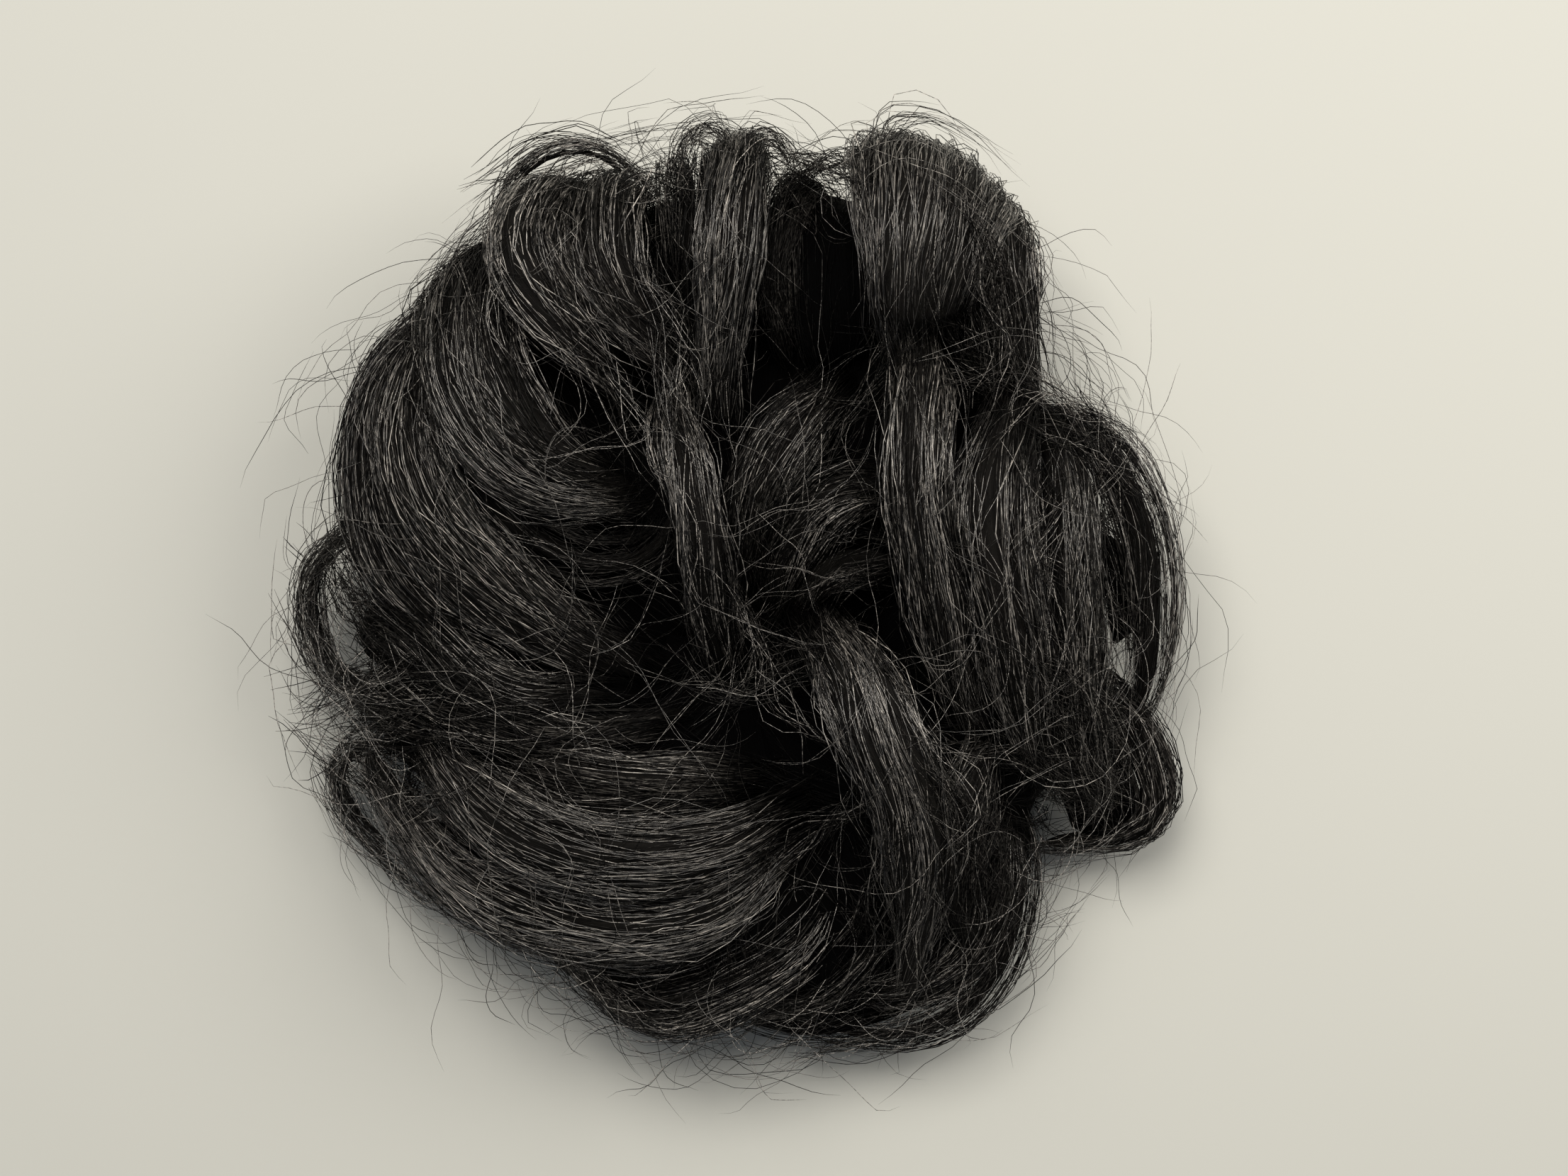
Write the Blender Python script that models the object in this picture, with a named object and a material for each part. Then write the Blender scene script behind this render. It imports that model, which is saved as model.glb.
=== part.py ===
"""Bun hairpiece: curled locks of hair whose roots are sewn round a small elastic band.

The bun lies as it does on a table, band down and crown up. Units are metres and +Z is up.
The origin is the middle of the bun's box, on the surface that it lies on.
"""

import math
from collections import namedtuple

import bmesh
import bpy
from mathutils import Vector
from mathutils.bvhtree import BVHTree

# Overall sizes
BUN_WIDTH = 0.147
BUN_LENGTH = 0.153
PILE_HEIGHT = 0.060
HAIR_GAP = 0.0003
CRUMB_SIDE = 0.002

# Elastic band: a plain ring of covered elastic cord under the middle of the roots
BAND_BORE = 0.030
BAND_CORD = 0.005
BAND_LIFT = 0.0065
BAND_SIDES = 10
BAND_STEPS = 32

# Middle of the roots, as shares of half the bun's width and length
ROOT_X = 0.075
ROOT_Y = -0.26

# Under hair: the lower curls, gathered from the band outwards
UNDER_CURLS = 14
UNDER_CURL_RELIEF = 0.0026
STEPS_PER_CURL = 4

# How far along a lock its root and tip have grown to full size
ROOT_SWELL = 0.28
TIP_TAPER = 0.42
LOCK_SIDES = 8
STATION_STEP = 0.0070
FEWEST_STATIONS = 6
CURVE_PIECES = 12

# A lock's rounded ends: how far they stand out, in half depths, and the share left flat
END_DOME = 0.55
CAP_SIZE = 0.55

HAIR_COLOUR = (0.020, 0.018, 0.016, 1.0)
UNDER_HAIR_COLOUR = (0.010, 0.009, 0.009, 1.0)
BAND_COLOUR = (0.012, 0.012, 0.014, 1.0)

# A ring of points of the under hair: out is from the well's wall, 0, to the bun's oval, 1;
# height is a share of PILE_HEIGHT, and curl the share of the curls' relief there.
Ring = namedtuple("Ring", "out height curl")
UNDER_RINGS = (
    Ring(out=0.00, height=0.000, curl=0.0),
    Ring(out=0.56, height=0.000, curl=0.5),
    Ring(out=0.72, height=0.070, curl=1.0),
    Ring(out=0.80, height=0.230, curl=1.0),
    Ring(out=0.75, height=0.390, curl=0.8),
    Ring(out=0.61, height=0.500, curl=0.4),
    Ring(out=0.38, height=0.535, curl=0.2),
    Ring(out=0.13, height=0.480, curl=0.0),
    Ring(out=0.00, height=0.370, curl=0.0),
)

# Each lock, the top one first. Width is a share of BUN_WIDTH and depth of PILE_HEIGHT at the
# lock's fullest; root and tip are its ends as shares of that. A route point is x and y as
# shares of half the bun's width and length, and z as a share of PILE_HEIGHT.
Lock = namedtuple("Lock", "name width depth root tip route")
LOCKS = (
    Lock("lock_lower_middle", 0.090, 0.150, 0.55, 0.30, (
        (0.18, -0.05, 0.60), (0.25, -0.14, 0.74), (0.31, -0.28, 0.79), (0.38, -0.41, 0.75),
        (0.41, -0.55, 0.67), (0.40, -0.70, 0.57), (0.39, -0.85, 0.46))),
    Lock("lock_long_right", 0.080, 0.150, 0.60, 0.50, (
        (0.38, 0.62, 0.58), (0.40, 0.46, 0.74), (0.40, 0.31, 0.83), (0.40, 0.17, 0.82),
        (0.45, 0.00, 0.76), (0.49, -0.16, 0.66), (0.56, -0.31, 0.52))),
    Lock("lock_top_right_fold", 0.190, 0.170, 0.55, 0.45, (
        (0.43, 0.72, 0.16), (0.43, 0.875, 0.32), (0.43, 0.925, 0.55), (0.43, 0.87, 0.78),
        (0.43, 0.755, 0.88), (0.41, 0.63, 0.84), (0.40, 0.53, 0.79))),
    Lock("lock_middle_wave", 0.066, 0.130, 0.50, 0.40, (
        (-0.115, 0.45, 0.66), (-0.13, 0.37, 0.75), (-0.105, 0.265, 0.80), (-0.065, 0.13, 0.77),
        (-0.055, 0.00, 0.66), (-0.03, -0.11, 0.53), (0.00, -0.18, 0.40))),
    Lock("lock_top_middle", 0.080, 0.150, 0.60, 0.45, (
        (0.01, 0.86, 0.28), (0.01, 0.925, 0.50), (0.005, 0.885, 0.72), (-0.01, 0.765, 0.83),
        (-0.02, 0.63, 0.82), (-0.03, 0.49, 0.75), (-0.03, 0.37, 0.62))),
    Lock("lock_upper_left_front", 0.085, 0.150, 0.55, 0.45, (
        (-0.25, 0.78, 0.32), (-0.26, 0.86, 0.52), (-0.29, 0.815, 0.72), (-0.28, 0.69, 0.81),
        (-0.22, 0.585, 0.80), (-0.14, 0.51, 0.70))),
    Lock("lock_left_c_curl", 0.115, 0.160, 0.45, 0.40, (
        (-0.54, 0.76, 0.44), (-0.585, 0.67, 0.62), (-0.59, 0.54, 0.73), (-0.54, 0.39, 0.78),
        (-0.43, 0.28, 0.78), (-0.31, 0.235, 0.71), (-0.22, 0.235, 0.60))),
    Lock("lock_upper_left_back", 0.085, 0.150, 0.55, 0.45, (
        (-0.39, 0.79, 0.32), (-0.40, 0.865, 0.50), (-0.45, 0.815, 0.70), (-0.465, 0.70, 0.80),
        (-0.40, 0.60, 0.81), (-0.32, 0.52, 0.75), (-0.24, 0.45, 0.62))),
    Lock("lock_right_fold_side", 0.095, 0.190, 0.60, 0.50, (
        (0.56, 0.88, 0.36), (0.61, 0.80, 0.58), (0.625, 0.67, 0.66), (0.64, 0.56, 0.61),
        (0.65, 0.45, 0.50))),
    Lock("lock_right_wave", 0.095, 0.160, 0.50, 0.50, (
        (0.62, 0.43, 0.62), (0.575, 0.295, 0.72), (0.565, 0.16, 0.75), (0.60, 0.01, 0.73),
        (0.64, -0.14, 0.66), (0.675, -0.28, 0.56), (0.70, -0.40, 0.44))),
    Lock("lock_lower_branch", 0.080, 0.130, 0.55, 0.35, (
        (0.55, -0.31, 0.54), (0.51, -0.415, 0.62), (0.49, -0.535, 0.61), (0.50, -0.64, 0.55),
        (0.525, -0.74, 0.46))),
    Lock("lock_right_middle", 0.070, 0.150, 0.55, 0.50, (
        (0.70, 0.385, 0.54), (0.74, 0.25, 0.62), (0.76, 0.10, 0.65), (0.775, -0.05, 0.63),
        (0.78, -0.19, 0.57), (0.795, -0.325, 0.47), (0.825, -0.445, 0.35))),
    Lock("lock_centre_curl_upper", 0.058, 0.120, 0.60, 0.45, (
        (0.34, 0.235, 0.62), (0.24, 0.235, 0.68), (0.155, 0.175, 0.66), (0.105, 0.07, 0.58),
        (0.09, -0.02, 0.48))),
    Lock("lock_centre_curl_lower", 0.050, 0.110, 0.60, 0.45, (
        (0.375, 0.07, 0.54), (0.275, 0.09, 0.60), (0.18, 0.055, 0.58), (0.13, -0.04, 0.48))),
    Lock("lock_centre_tuft", 0.070, 0.130, 0.50, 0.40, (
        (0.22, 0.46, 0.55), (0.135, 0.37, 0.64), (0.07, 0.25, 0.65), (0.03, 0.12, 0.59),
        (0.015, 0.00, 0.48))),
    Lock("lock_top_left_tuft", 0.045, 0.120, 0.60, 0.45, (
        (-0.11, 0.86, 0.34), (-0.115, 0.92, 0.54), (-0.105, 0.85, 0.70), (-0.10, 0.73, 0.74),
        (-0.11, 0.62, 0.68))),
    Lock("lock_top_inner_curl", 0.055, 0.120, 0.55, 0.45, (
        (0.17, 0.89, 0.38), (0.12, 0.87, 0.52), (0.09, 0.765, 0.60), (0.09, 0.63, 0.61),
        (0.11, 0.51, 0.54))),
    Lock("lock_left_inner", 0.110, 0.160, 0.45, 0.40, (
        (-0.65, 0.62, 0.46), (-0.72, 0.46, 0.58), (-0.725, 0.31, 0.63), (-0.665, 0.16, 0.65),
        (-0.53, 0.025, 0.64), (-0.36, -0.08, 0.58), (-0.20, -0.15, 0.47))),
    Lock("lock_left_arc", 0.050, 0.110, 0.50, 0.35, (
        (-0.60, 0.31, 0.58), (-0.53, 0.205, 0.64), (-0.42, 0.115, 0.64), (-0.295, 0.07, 0.62),
        (-0.185, 0.10, 0.60), (-0.13, 0.20, 0.56))),
    Lock("lock_swirl_middle", 0.105, 0.180, 0.45, 0.45, (
        (0.13, -0.445, 0.48), (-0.03, -0.53, 0.58), (-0.23, -0.555, 0.61), (-0.44, -0.52, 0.56),
        (-0.595, -0.415, 0.48), (-0.69, -0.31, 0.40), (-0.74, -0.24, 0.30))),
    Lock("lock_bottom_lobe", 0.095, 0.220, 0.45, 0.45, (
        (0.24, -0.51, 0.46), (0.17, -0.67, 0.47), (0.04, -0.80, 0.42), (-0.13, -0.87, 0.36),
        (-0.28, -0.85, 0.30), (-0.38, -0.77, 0.25))),
    Lock("lock_swirl_outer", 0.095, 0.230, 0.45, 0.40, (
        (0.13, -0.53, 0.38), (-0.01, -0.655, 0.45), (-0.215, -0.70, 0.46), (-0.44, -0.67, 0.42),
        (-0.625, -0.565, 0.37), (-0.77, -0.43, 0.31), (-0.85, -0.33, 0.26))),
    Lock("lock_swirl_inner", 0.085, 0.150, 0.50, 0.45, (
        (0.06, -0.385, 0.44), (-0.06, -0.40, 0.52), (-0.215, -0.41, 0.55), (-0.37, -0.395, 0.53),
        (-0.50, -0.34, 0.46), (-0.595, -0.28, 0.38))),
    Lock("lock_left_outer", 0.090, 0.220, 0.45, 0.40, (
        (-0.62, 0.70, 0.32), (-0.76, 0.53, 0.41), (-0.81, 0.36, 0.45), (-0.80, 0.20, 0.47),
        (-0.73, 0.05, 0.49), (-0.60, -0.07, 0.48), (-0.44, -0.14, 0.42))),
    Lock("lock_left_tangle", 0.070, 0.140, 0.45, 0.40, (
        (-0.84, -0.08, 0.35), (-0.775, -0.04, 0.44), (-0.69, -0.08, 0.49), (-0.60, -0.16, 0.52),
        (-0.46, -0.215, 0.54), (-0.29, -0.20, 0.53))),
    Lock("lock_left_band", 0.064, 0.140, 0.35, 0.40, (
        (-0.90, -0.215, 0.20), (-0.75, -0.225, 0.38), (-0.56, -0.265, 0.48),
        (-0.37, -0.285, 0.52), (-0.215, -0.26, 0.52), (-0.10, -0.24, 0.43))),
    Lock("lock_left_loop", 0.034, 0.090, 0.60, 0.50, (
        (-0.83, 0.16, 0.38), (-0.925, 0.115, 0.34), (-0.965, 0.01, 0.30), (-0.94, -0.11, 0.29),
        (-0.885, -0.165, 0.30), (-0.83, -0.185, 0.34))),
    Lock("lock_left_low_loop", 0.028, 0.080, 0.60, 0.60, (
        (-0.76, -0.30, 0.26), (-0.845, -0.31, 0.24), (-0.905, -0.36, 0.21),
        (-0.885, -0.445, 0.19), (-0.80, -0.53, 0.19))),
    Lock("lock_upper_left_arch", 0.022, 0.055, 0.80, 0.70, (
        (-0.53, 0.765, 0.38), (-0.51, 0.88, 0.48), (-0.41, 0.955, 0.53), (-0.30, 0.955, 0.52),
        (-0.21, 0.88, 0.44))),
    Lock("lock_bottom_middle", 0.080, 0.190, 0.50, 0.40, (
        (0.33, -0.55, 0.40), (0.28, -0.70, 0.42), (0.20, -0.82, 0.36), (0.10, -0.905, 0.28),
        (0.00, -0.945, 0.20))),
    Lock("lock_right_outer", 0.052, 0.190, 0.45, 0.45, (
        (0.64, 0.41, 0.40), (0.76, 0.40, 0.45), (0.85, 0.345, 0.47), (0.91, 0.24, 0.48),
        (0.94, 0.11, 0.46), (0.95, -0.035, 0.43), (0.94, -0.17, 0.38), (0.89, -0.28, 0.31))),
    Lock("lock_right_corner", 0.052, 0.160, 0.45, 0.45, (
        (0.66, -0.15, 0.36), (0.78, -0.175, 0.37), (0.87, -0.235, 0.35), (0.935, -0.33, 0.31),
        (0.95, -0.42, 0.27), (0.915, -0.495, 0.23), (0.82, -0.525, 0.19), (0.70, -0.535, 0.16))),
    Lock("lock_bottom_right_inner", 0.080, 0.190, 0.50, 0.45, (
        (0.57, -0.43, 0.40), (0.575, -0.58, 0.40), (0.54, -0.71, 0.37), (0.45, -0.81, 0.33),
        (0.31, -0.865, 0.28))),
    Lock("lock_bottom_right_loop", 0.036, 0.140, 0.60, 0.60, (
        (0.61, -0.355, 0.28), (0.64, -0.505, 0.31), (0.63, -0.655, 0.31), (0.575, -0.79, 0.28),
        (0.465, -0.895, 0.24), (0.32, -0.95, 0.20), (0.17, -0.955, 0.16))),
)


def clear_scene():
    for old in list(bpy.data.objects):
        bpy.data.objects.remove(old)


def make_material(name, colour, roughness):
    material = bpy.data.materials.new(name)
    material.use_nodes = True
    shader = material.node_tree.nodes["Principled BSDF"]
    shader.inputs["Base Color"].default_value = colour
    shader.inputs["Roughness"].default_value = roughness
    shader.inputs["Metallic"].default_value = 0.0
    return material


def place(share_x, share_y, share_z):
    """The point at these shares of the bun's half width, half length and height."""
    return Vector((share_x * BUN_WIDTH / 2, share_y * BUN_LENGTH / 2, share_z * PILE_HEIGHT))


def rounded_step(share):
    """Rises smoothly from 0 to 1 while share does."""
    share = min(max(share, 0.0), 1.0)
    return share * share * (3 - 2 * share)


def through_points(points, count):
    """Points at equal steps along the smooth curve through the given ones."""
    padded = [2 * points[0] - points[1], *points, 2 * points[-1] - points[-2]]
    fine = []
    for a, b, c, d in zip(padded, padded[1:], padded[2:], padded[3:]):
        for i in range(CURVE_PIECES):
            t = i / CURVE_PIECES
            fine.append(0.5 * (2 * b + (c - a) * t + (2 * a - 5 * b + 4 * c - d) * t ** 2
                               + (3 * b - a - 3 * c + d) * t ** 3))
    fine.append(points[-1].copy())
    run = [0.0]
    for p, q in zip(fine, fine[1:]):
        run.append(run[-1] + (q - p).length)
    spaced = []
    k = 0
    for i in range(count):
        wanted = run[-1] * i / (count - 1)
        while k < len(run) - 2 and run[k + 1] < wanted:
            k += 1
        share = (wanted - run[k]) / (run[k + 1] - run[k])
        spaced.append(fine[k].lerp(fine[k + 1], min(max(share, 0.0), 1.0)))
    return spaced


def route_length(points):
    return sum((q - p).length for p, q in zip(points, points[1:]))


def outward_at(point):
    """Away from the middle of the bun, as on the egg that its overall sizes make."""
    return Vector((point.x / (BUN_WIDTH / 2) ** 2, point.y / (BUN_LENGTH / 2) ** 2,
                   point.z / PILE_HEIGHT ** 2)).normalized()


def fullness(share, lock):
    """The lock's size there, as a share of its fullest."""
    from_root = lock.root + (1 - lock.root) * rounded_step(share / ROOT_SWELL)
    from_tip = lock.tip + (1 - lock.tip) * rounded_step((1 - share) / TIP_TAPER)
    return min(from_root, from_tip)


def mesh_object(name, bm, material=None):
    mesh = bpy.data.meshes.new(name)
    bm.to_mesh(mesh)
    bm.free()
    mesh.shade_smooth()
    if material:
        mesh.materials.append(material)
    made = bpy.data.objects.new(name, mesh)
    bpy.context.scene.collection.objects.link(made)
    return made


def skin_rings(bm, rings, close_ends):
    """Joins rings of points with triangles; the last ring joins the first unless the ends close.

    A lock and its cutter are split along the same diagonals, so the room between them is even.
    """
    vertex_rings = [[bm.verts.new(p) for p in ring] for ring in rings]
    followers = vertex_rings[1:] if close_ends else vertex_rings[1:] + vertex_rings[:1]
    for ring, following in zip(vertex_rings, followers):
        count = len(ring)
        for i in range(count):
            j = (i + 1) % count
            bm.faces.new((ring[i], ring[j], following[j]))
            bm.faces.new((ring[i], following[j], following[i]))
    if close_ends:
        bm.faces.new(list(reversed(vertex_rings[0])))
        bm.faces.new(vertex_rings[-1])
    bmesh.ops.recalc_face_normals(bm, faces=bm.faces)


def lock_mesh(lock, grown=0.0):
    """The lock's swept solid, or with grown the cutter that leaves that much room round it."""
    route = [place(*shares) for shares in lock.route]
    stations = max(FEWEST_STATIONS, round(route_length(route) / STATION_STEP))
    line = through_points(route, stations)
    rings = []
    for i, point in enumerate(line):
        tangent = (line[min(i + 1, stations - 1)] - line[max(i - 1, 0)]).normalized()
        side = tangent.cross(outward_at(point)).normalized()
        lift = side.cross(tangent)
        size = fullness(i / (stations - 1), lock)
        half_width = size * lock.width * BUN_WIDTH / 2 + grown
        half_depth = size * lock.depth * PILE_HEIGHT / 2 + grown
        ring = []
        cap = []
        facing = -1 if i == 0 else 1
        cap_centre = point + tangent * facing * END_DOME * half_depth
        for k in range(LOCK_SIDES):
            angle = 2 * math.pi * k / LOCK_SIDES
            spoke = side * half_width * math.cos(angle) + lift * half_depth * math.sin(angle)
            ring.append(point + spoke)
            cap.append(cap_centre + spoke * CAP_SIZE)
        if i == 0:
            rings.append(cap)
        rings.append(ring)
        if i == stations - 1:
            rings.append(cap)
    bm = bmesh.new()
    skin_rings(bm, rings, close_ends=True)
    return bm


def under_hair_mesh():
    """A ring-shaped mound with a flat foot, a well over the band and the curls' lobes."""
    middle = place(ROOT_X, ROOT_Y, 0)
    well = BAND_BORE / 2 + BAND_CORD / 2
    half_x, half_y = BUN_WIDTH / 2, BUN_LENGTH / 2
    steps = UNDER_CURLS * STEPS_PER_CURL
    bm = bmesh.new()
    rings = []
    for row in UNDER_RINGS:
        ring = []
        for i in range(steps):
            angle = 2 * math.pi * i / steps
            along = Vector((math.cos(angle), math.sin(angle), 0))
            # Distance from the roots' middle to the bun's oval along this direction
            a = (along.x / half_x) ** 2 + (along.y / half_y) ** 2
            b = along.x * middle.x / half_x ** 2 + along.y * middle.y / half_y ** 2
            c = (middle.x / half_x) ** 2 + (middle.y / half_y) ** 2 - 1
            outline = (math.sqrt(b * b - a * c) - b) / a
            relief = row.curl * UNDER_CURL_RELIEF * math.cos(UNDER_CURLS * angle)
            radius = well + row.out * (outline - well) + relief
            ring.append(middle + along * radius + Vector((0, 0, row.height * PILE_HEIGHT)))
        rings.append(ring)
    skin_rings(bm, rings, close_ends=False)
    return bm


def band_mesh(grown=0.0):
    """The elastic cord's ring, or with grown the cutter for its seat."""
    middle = place(ROOT_X, ROOT_Y, 0) + Vector((0, 0, BAND_LIFT))
    ring_radius = (BAND_BORE + BAND_CORD) / 2
    rings = []
    for i in range(BAND_STEPS):
        turn = 2 * math.pi * i / BAND_STEPS
        along = Vector((math.cos(turn), math.sin(turn), 0))
        ring = []
        for k in range(BAND_SIDES):
            angle = 2 * math.pi * k / BAND_SIDES
            out = ring_radius + (BAND_CORD / 2 + grown) * math.cos(angle)
            rise = (BAND_CORD / 2 + grown) * math.sin(angle)
            ring.append(middle + along * out + Vector((0, 0, rise)))
        rings.append(ring)
    bm = bmesh.new()
    skin_rings(bm, rings, close_ends=False)
    return bm


def make_cutter(name, bm):
    cutter = mesh_object(name, bm)
    cutter.hide_render = True
    cutter.display_type = "WIRE"
    return cutter


def tree_of(piece):
    return BVHTree.FromPolygons([v.co for v in piece.data.vertices],
                                [tuple(p.vertices) for p in piece.data.polygons])


def make_room(piece, cutters):
    """Cuts the piece back from all the cutters that it meets, in one step."""
    own = tree_of(piece)
    met = [cutter for cutter in cutters if own.overlap(tree_of(cutter))]
    if not met:
        return
    group = bpy.data.collections.new("round_" + piece.name)
    for cutter in met:
        group.objects.link(cutter)
    cut = piece.modifiers.new("room", "BOOLEAN")
    cut.operation = "DIFFERENCE"
    cut.solver = "EXACT"
    cut.operand_type = "COLLECTION"
    cut.collection = group
    drop_crumbs(piece)


def drop_crumbs(piece):
    """Applies the piece's cut and drops the crumbs and pinholes that it leaves between two locks."""
    bpy.context.view_layer.update()
    graph = bpy.context.evaluated_depsgraph_get()
    bm = bmesh.new()
    bm.from_mesh(piece.evaluated_get(graph).data)
    bmesh.ops.triangulate(bm, faces=bm.faces)
    waiting = set(bm.faces)
    while waiting:
        island = []
        front = [waiting.pop()]
        while front:
            face = front.pop()
            island.append(face)
            for near in (other for edge in face.edges for other in edge.link_faces):
                if near in waiting:
                    waiting.remove(near)
                    front.append(near)
        volume = sum(a.co.dot(b.co.cross(c.co)) for a, b, c in (face.verts for face in island)) / 6
        if abs(volume) < CRUMB_SIDE ** 3:
            bmesh.ops.delete(bm, geom=island, context="FACES")
    piece.modifiers.clear()
    bm.to_mesh(piece.data)
    bm.free()
    piece.data.shade_smooth()


def stand_on_origin(pieces):
    """Moves the pieces together, so that the middle of their box's foot is the origin."""
    corners = [vertex.co for piece in pieces for vertex in piece.data.vertices]
    low = Vector([min(corner[axis] for corner in corners) for axis in range(3)])
    high = Vector([max(corner[axis] for corner in corners) for axis in range(3)])
    for piece in pieces:
        piece.location = (-(low.x + high.x) / 2, -(low.y + high.y) / 2, -low.z)


def main():
    clear_scene()
    hair = make_material("hair", HAIR_COLOUR, 0.38)
    under = make_material("under_hair", UNDER_HAIR_COLOUR, 0.50)
    elastic = make_material("elastic", BAND_COLOUR, 0.80)

    pieces = [mesh_object("elastic_band", band_mesh(), elastic)]
    cutters = [make_cutter("room_band", band_mesh(HAIR_GAP))]
    for lock in LOCKS:
        pieces.append(mesh_object(lock.name, lock_mesh(lock), hair))
        make_room(pieces[-1], cutters)
        cutters.append(make_cutter("room_" + lock.name, lock_mesh(lock, HAIR_GAP)))
    pieces.append(mesh_object("under_hair", under_hair_mesh(), under))
    make_room(pieces[-1], cutters)
    stand_on_origin(pieces)


main()
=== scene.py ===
"""Looks of the messy bun hairpiece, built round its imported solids.

Each lock is a soft body with combed strands over it; loose wisps and flyaway hairs lie round them.
Lengths are metres, and +Z is up.
"""

import math
import random
from collections import namedtuple

import bmesh
import bpy
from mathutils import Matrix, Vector, noise
from mathutils.bvhtree import BVHTree


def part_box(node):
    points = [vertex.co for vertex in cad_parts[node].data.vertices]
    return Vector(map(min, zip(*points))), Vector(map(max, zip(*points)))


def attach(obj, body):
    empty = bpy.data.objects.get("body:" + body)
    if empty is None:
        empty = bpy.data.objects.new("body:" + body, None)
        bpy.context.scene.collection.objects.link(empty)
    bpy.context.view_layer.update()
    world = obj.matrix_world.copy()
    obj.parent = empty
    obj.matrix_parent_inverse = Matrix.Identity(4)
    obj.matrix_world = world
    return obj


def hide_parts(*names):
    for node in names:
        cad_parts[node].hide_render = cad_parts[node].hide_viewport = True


bl_info = {
    "name": "Messy Bun Hairpiece",
    "version": (1, 0, 0),
    "blender": (4, 5, 0),
    "location": "View3D > Sidebar > Bun",
    "description": "Builds the hair of a messy bun hairpiece round its solids",
    "category": "Object",
}

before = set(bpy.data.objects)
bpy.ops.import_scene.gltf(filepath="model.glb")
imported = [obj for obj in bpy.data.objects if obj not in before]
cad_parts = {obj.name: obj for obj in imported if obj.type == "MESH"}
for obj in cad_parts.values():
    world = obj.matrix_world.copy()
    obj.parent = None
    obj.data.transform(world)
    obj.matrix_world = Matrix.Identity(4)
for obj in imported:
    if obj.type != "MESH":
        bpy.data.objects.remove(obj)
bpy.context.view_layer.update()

# The sizes that the solids follow
BUN_WIDTH = 0.147
BUN_LENGTH = 0.153
PILE_HEIGHT = 0.060
ROOT_X = 0.075
ROOT_Y = -0.26
ROOT_SWELL = 0.28
TIP_TAPER = 0.42

# A lock's sizes and its route are shares of the sizes above
Lock = namedtuple("Lock", "name width depth root tip matt route")


def hundredths(route):
    """The tables give routes in hundredths, to keep them short."""
    return [[part / 100 for part in point] for point in route]


def locks_from(rows):
    return [Lock(*row[:-1], hundredths(row[-1])) for row in rows]


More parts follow.
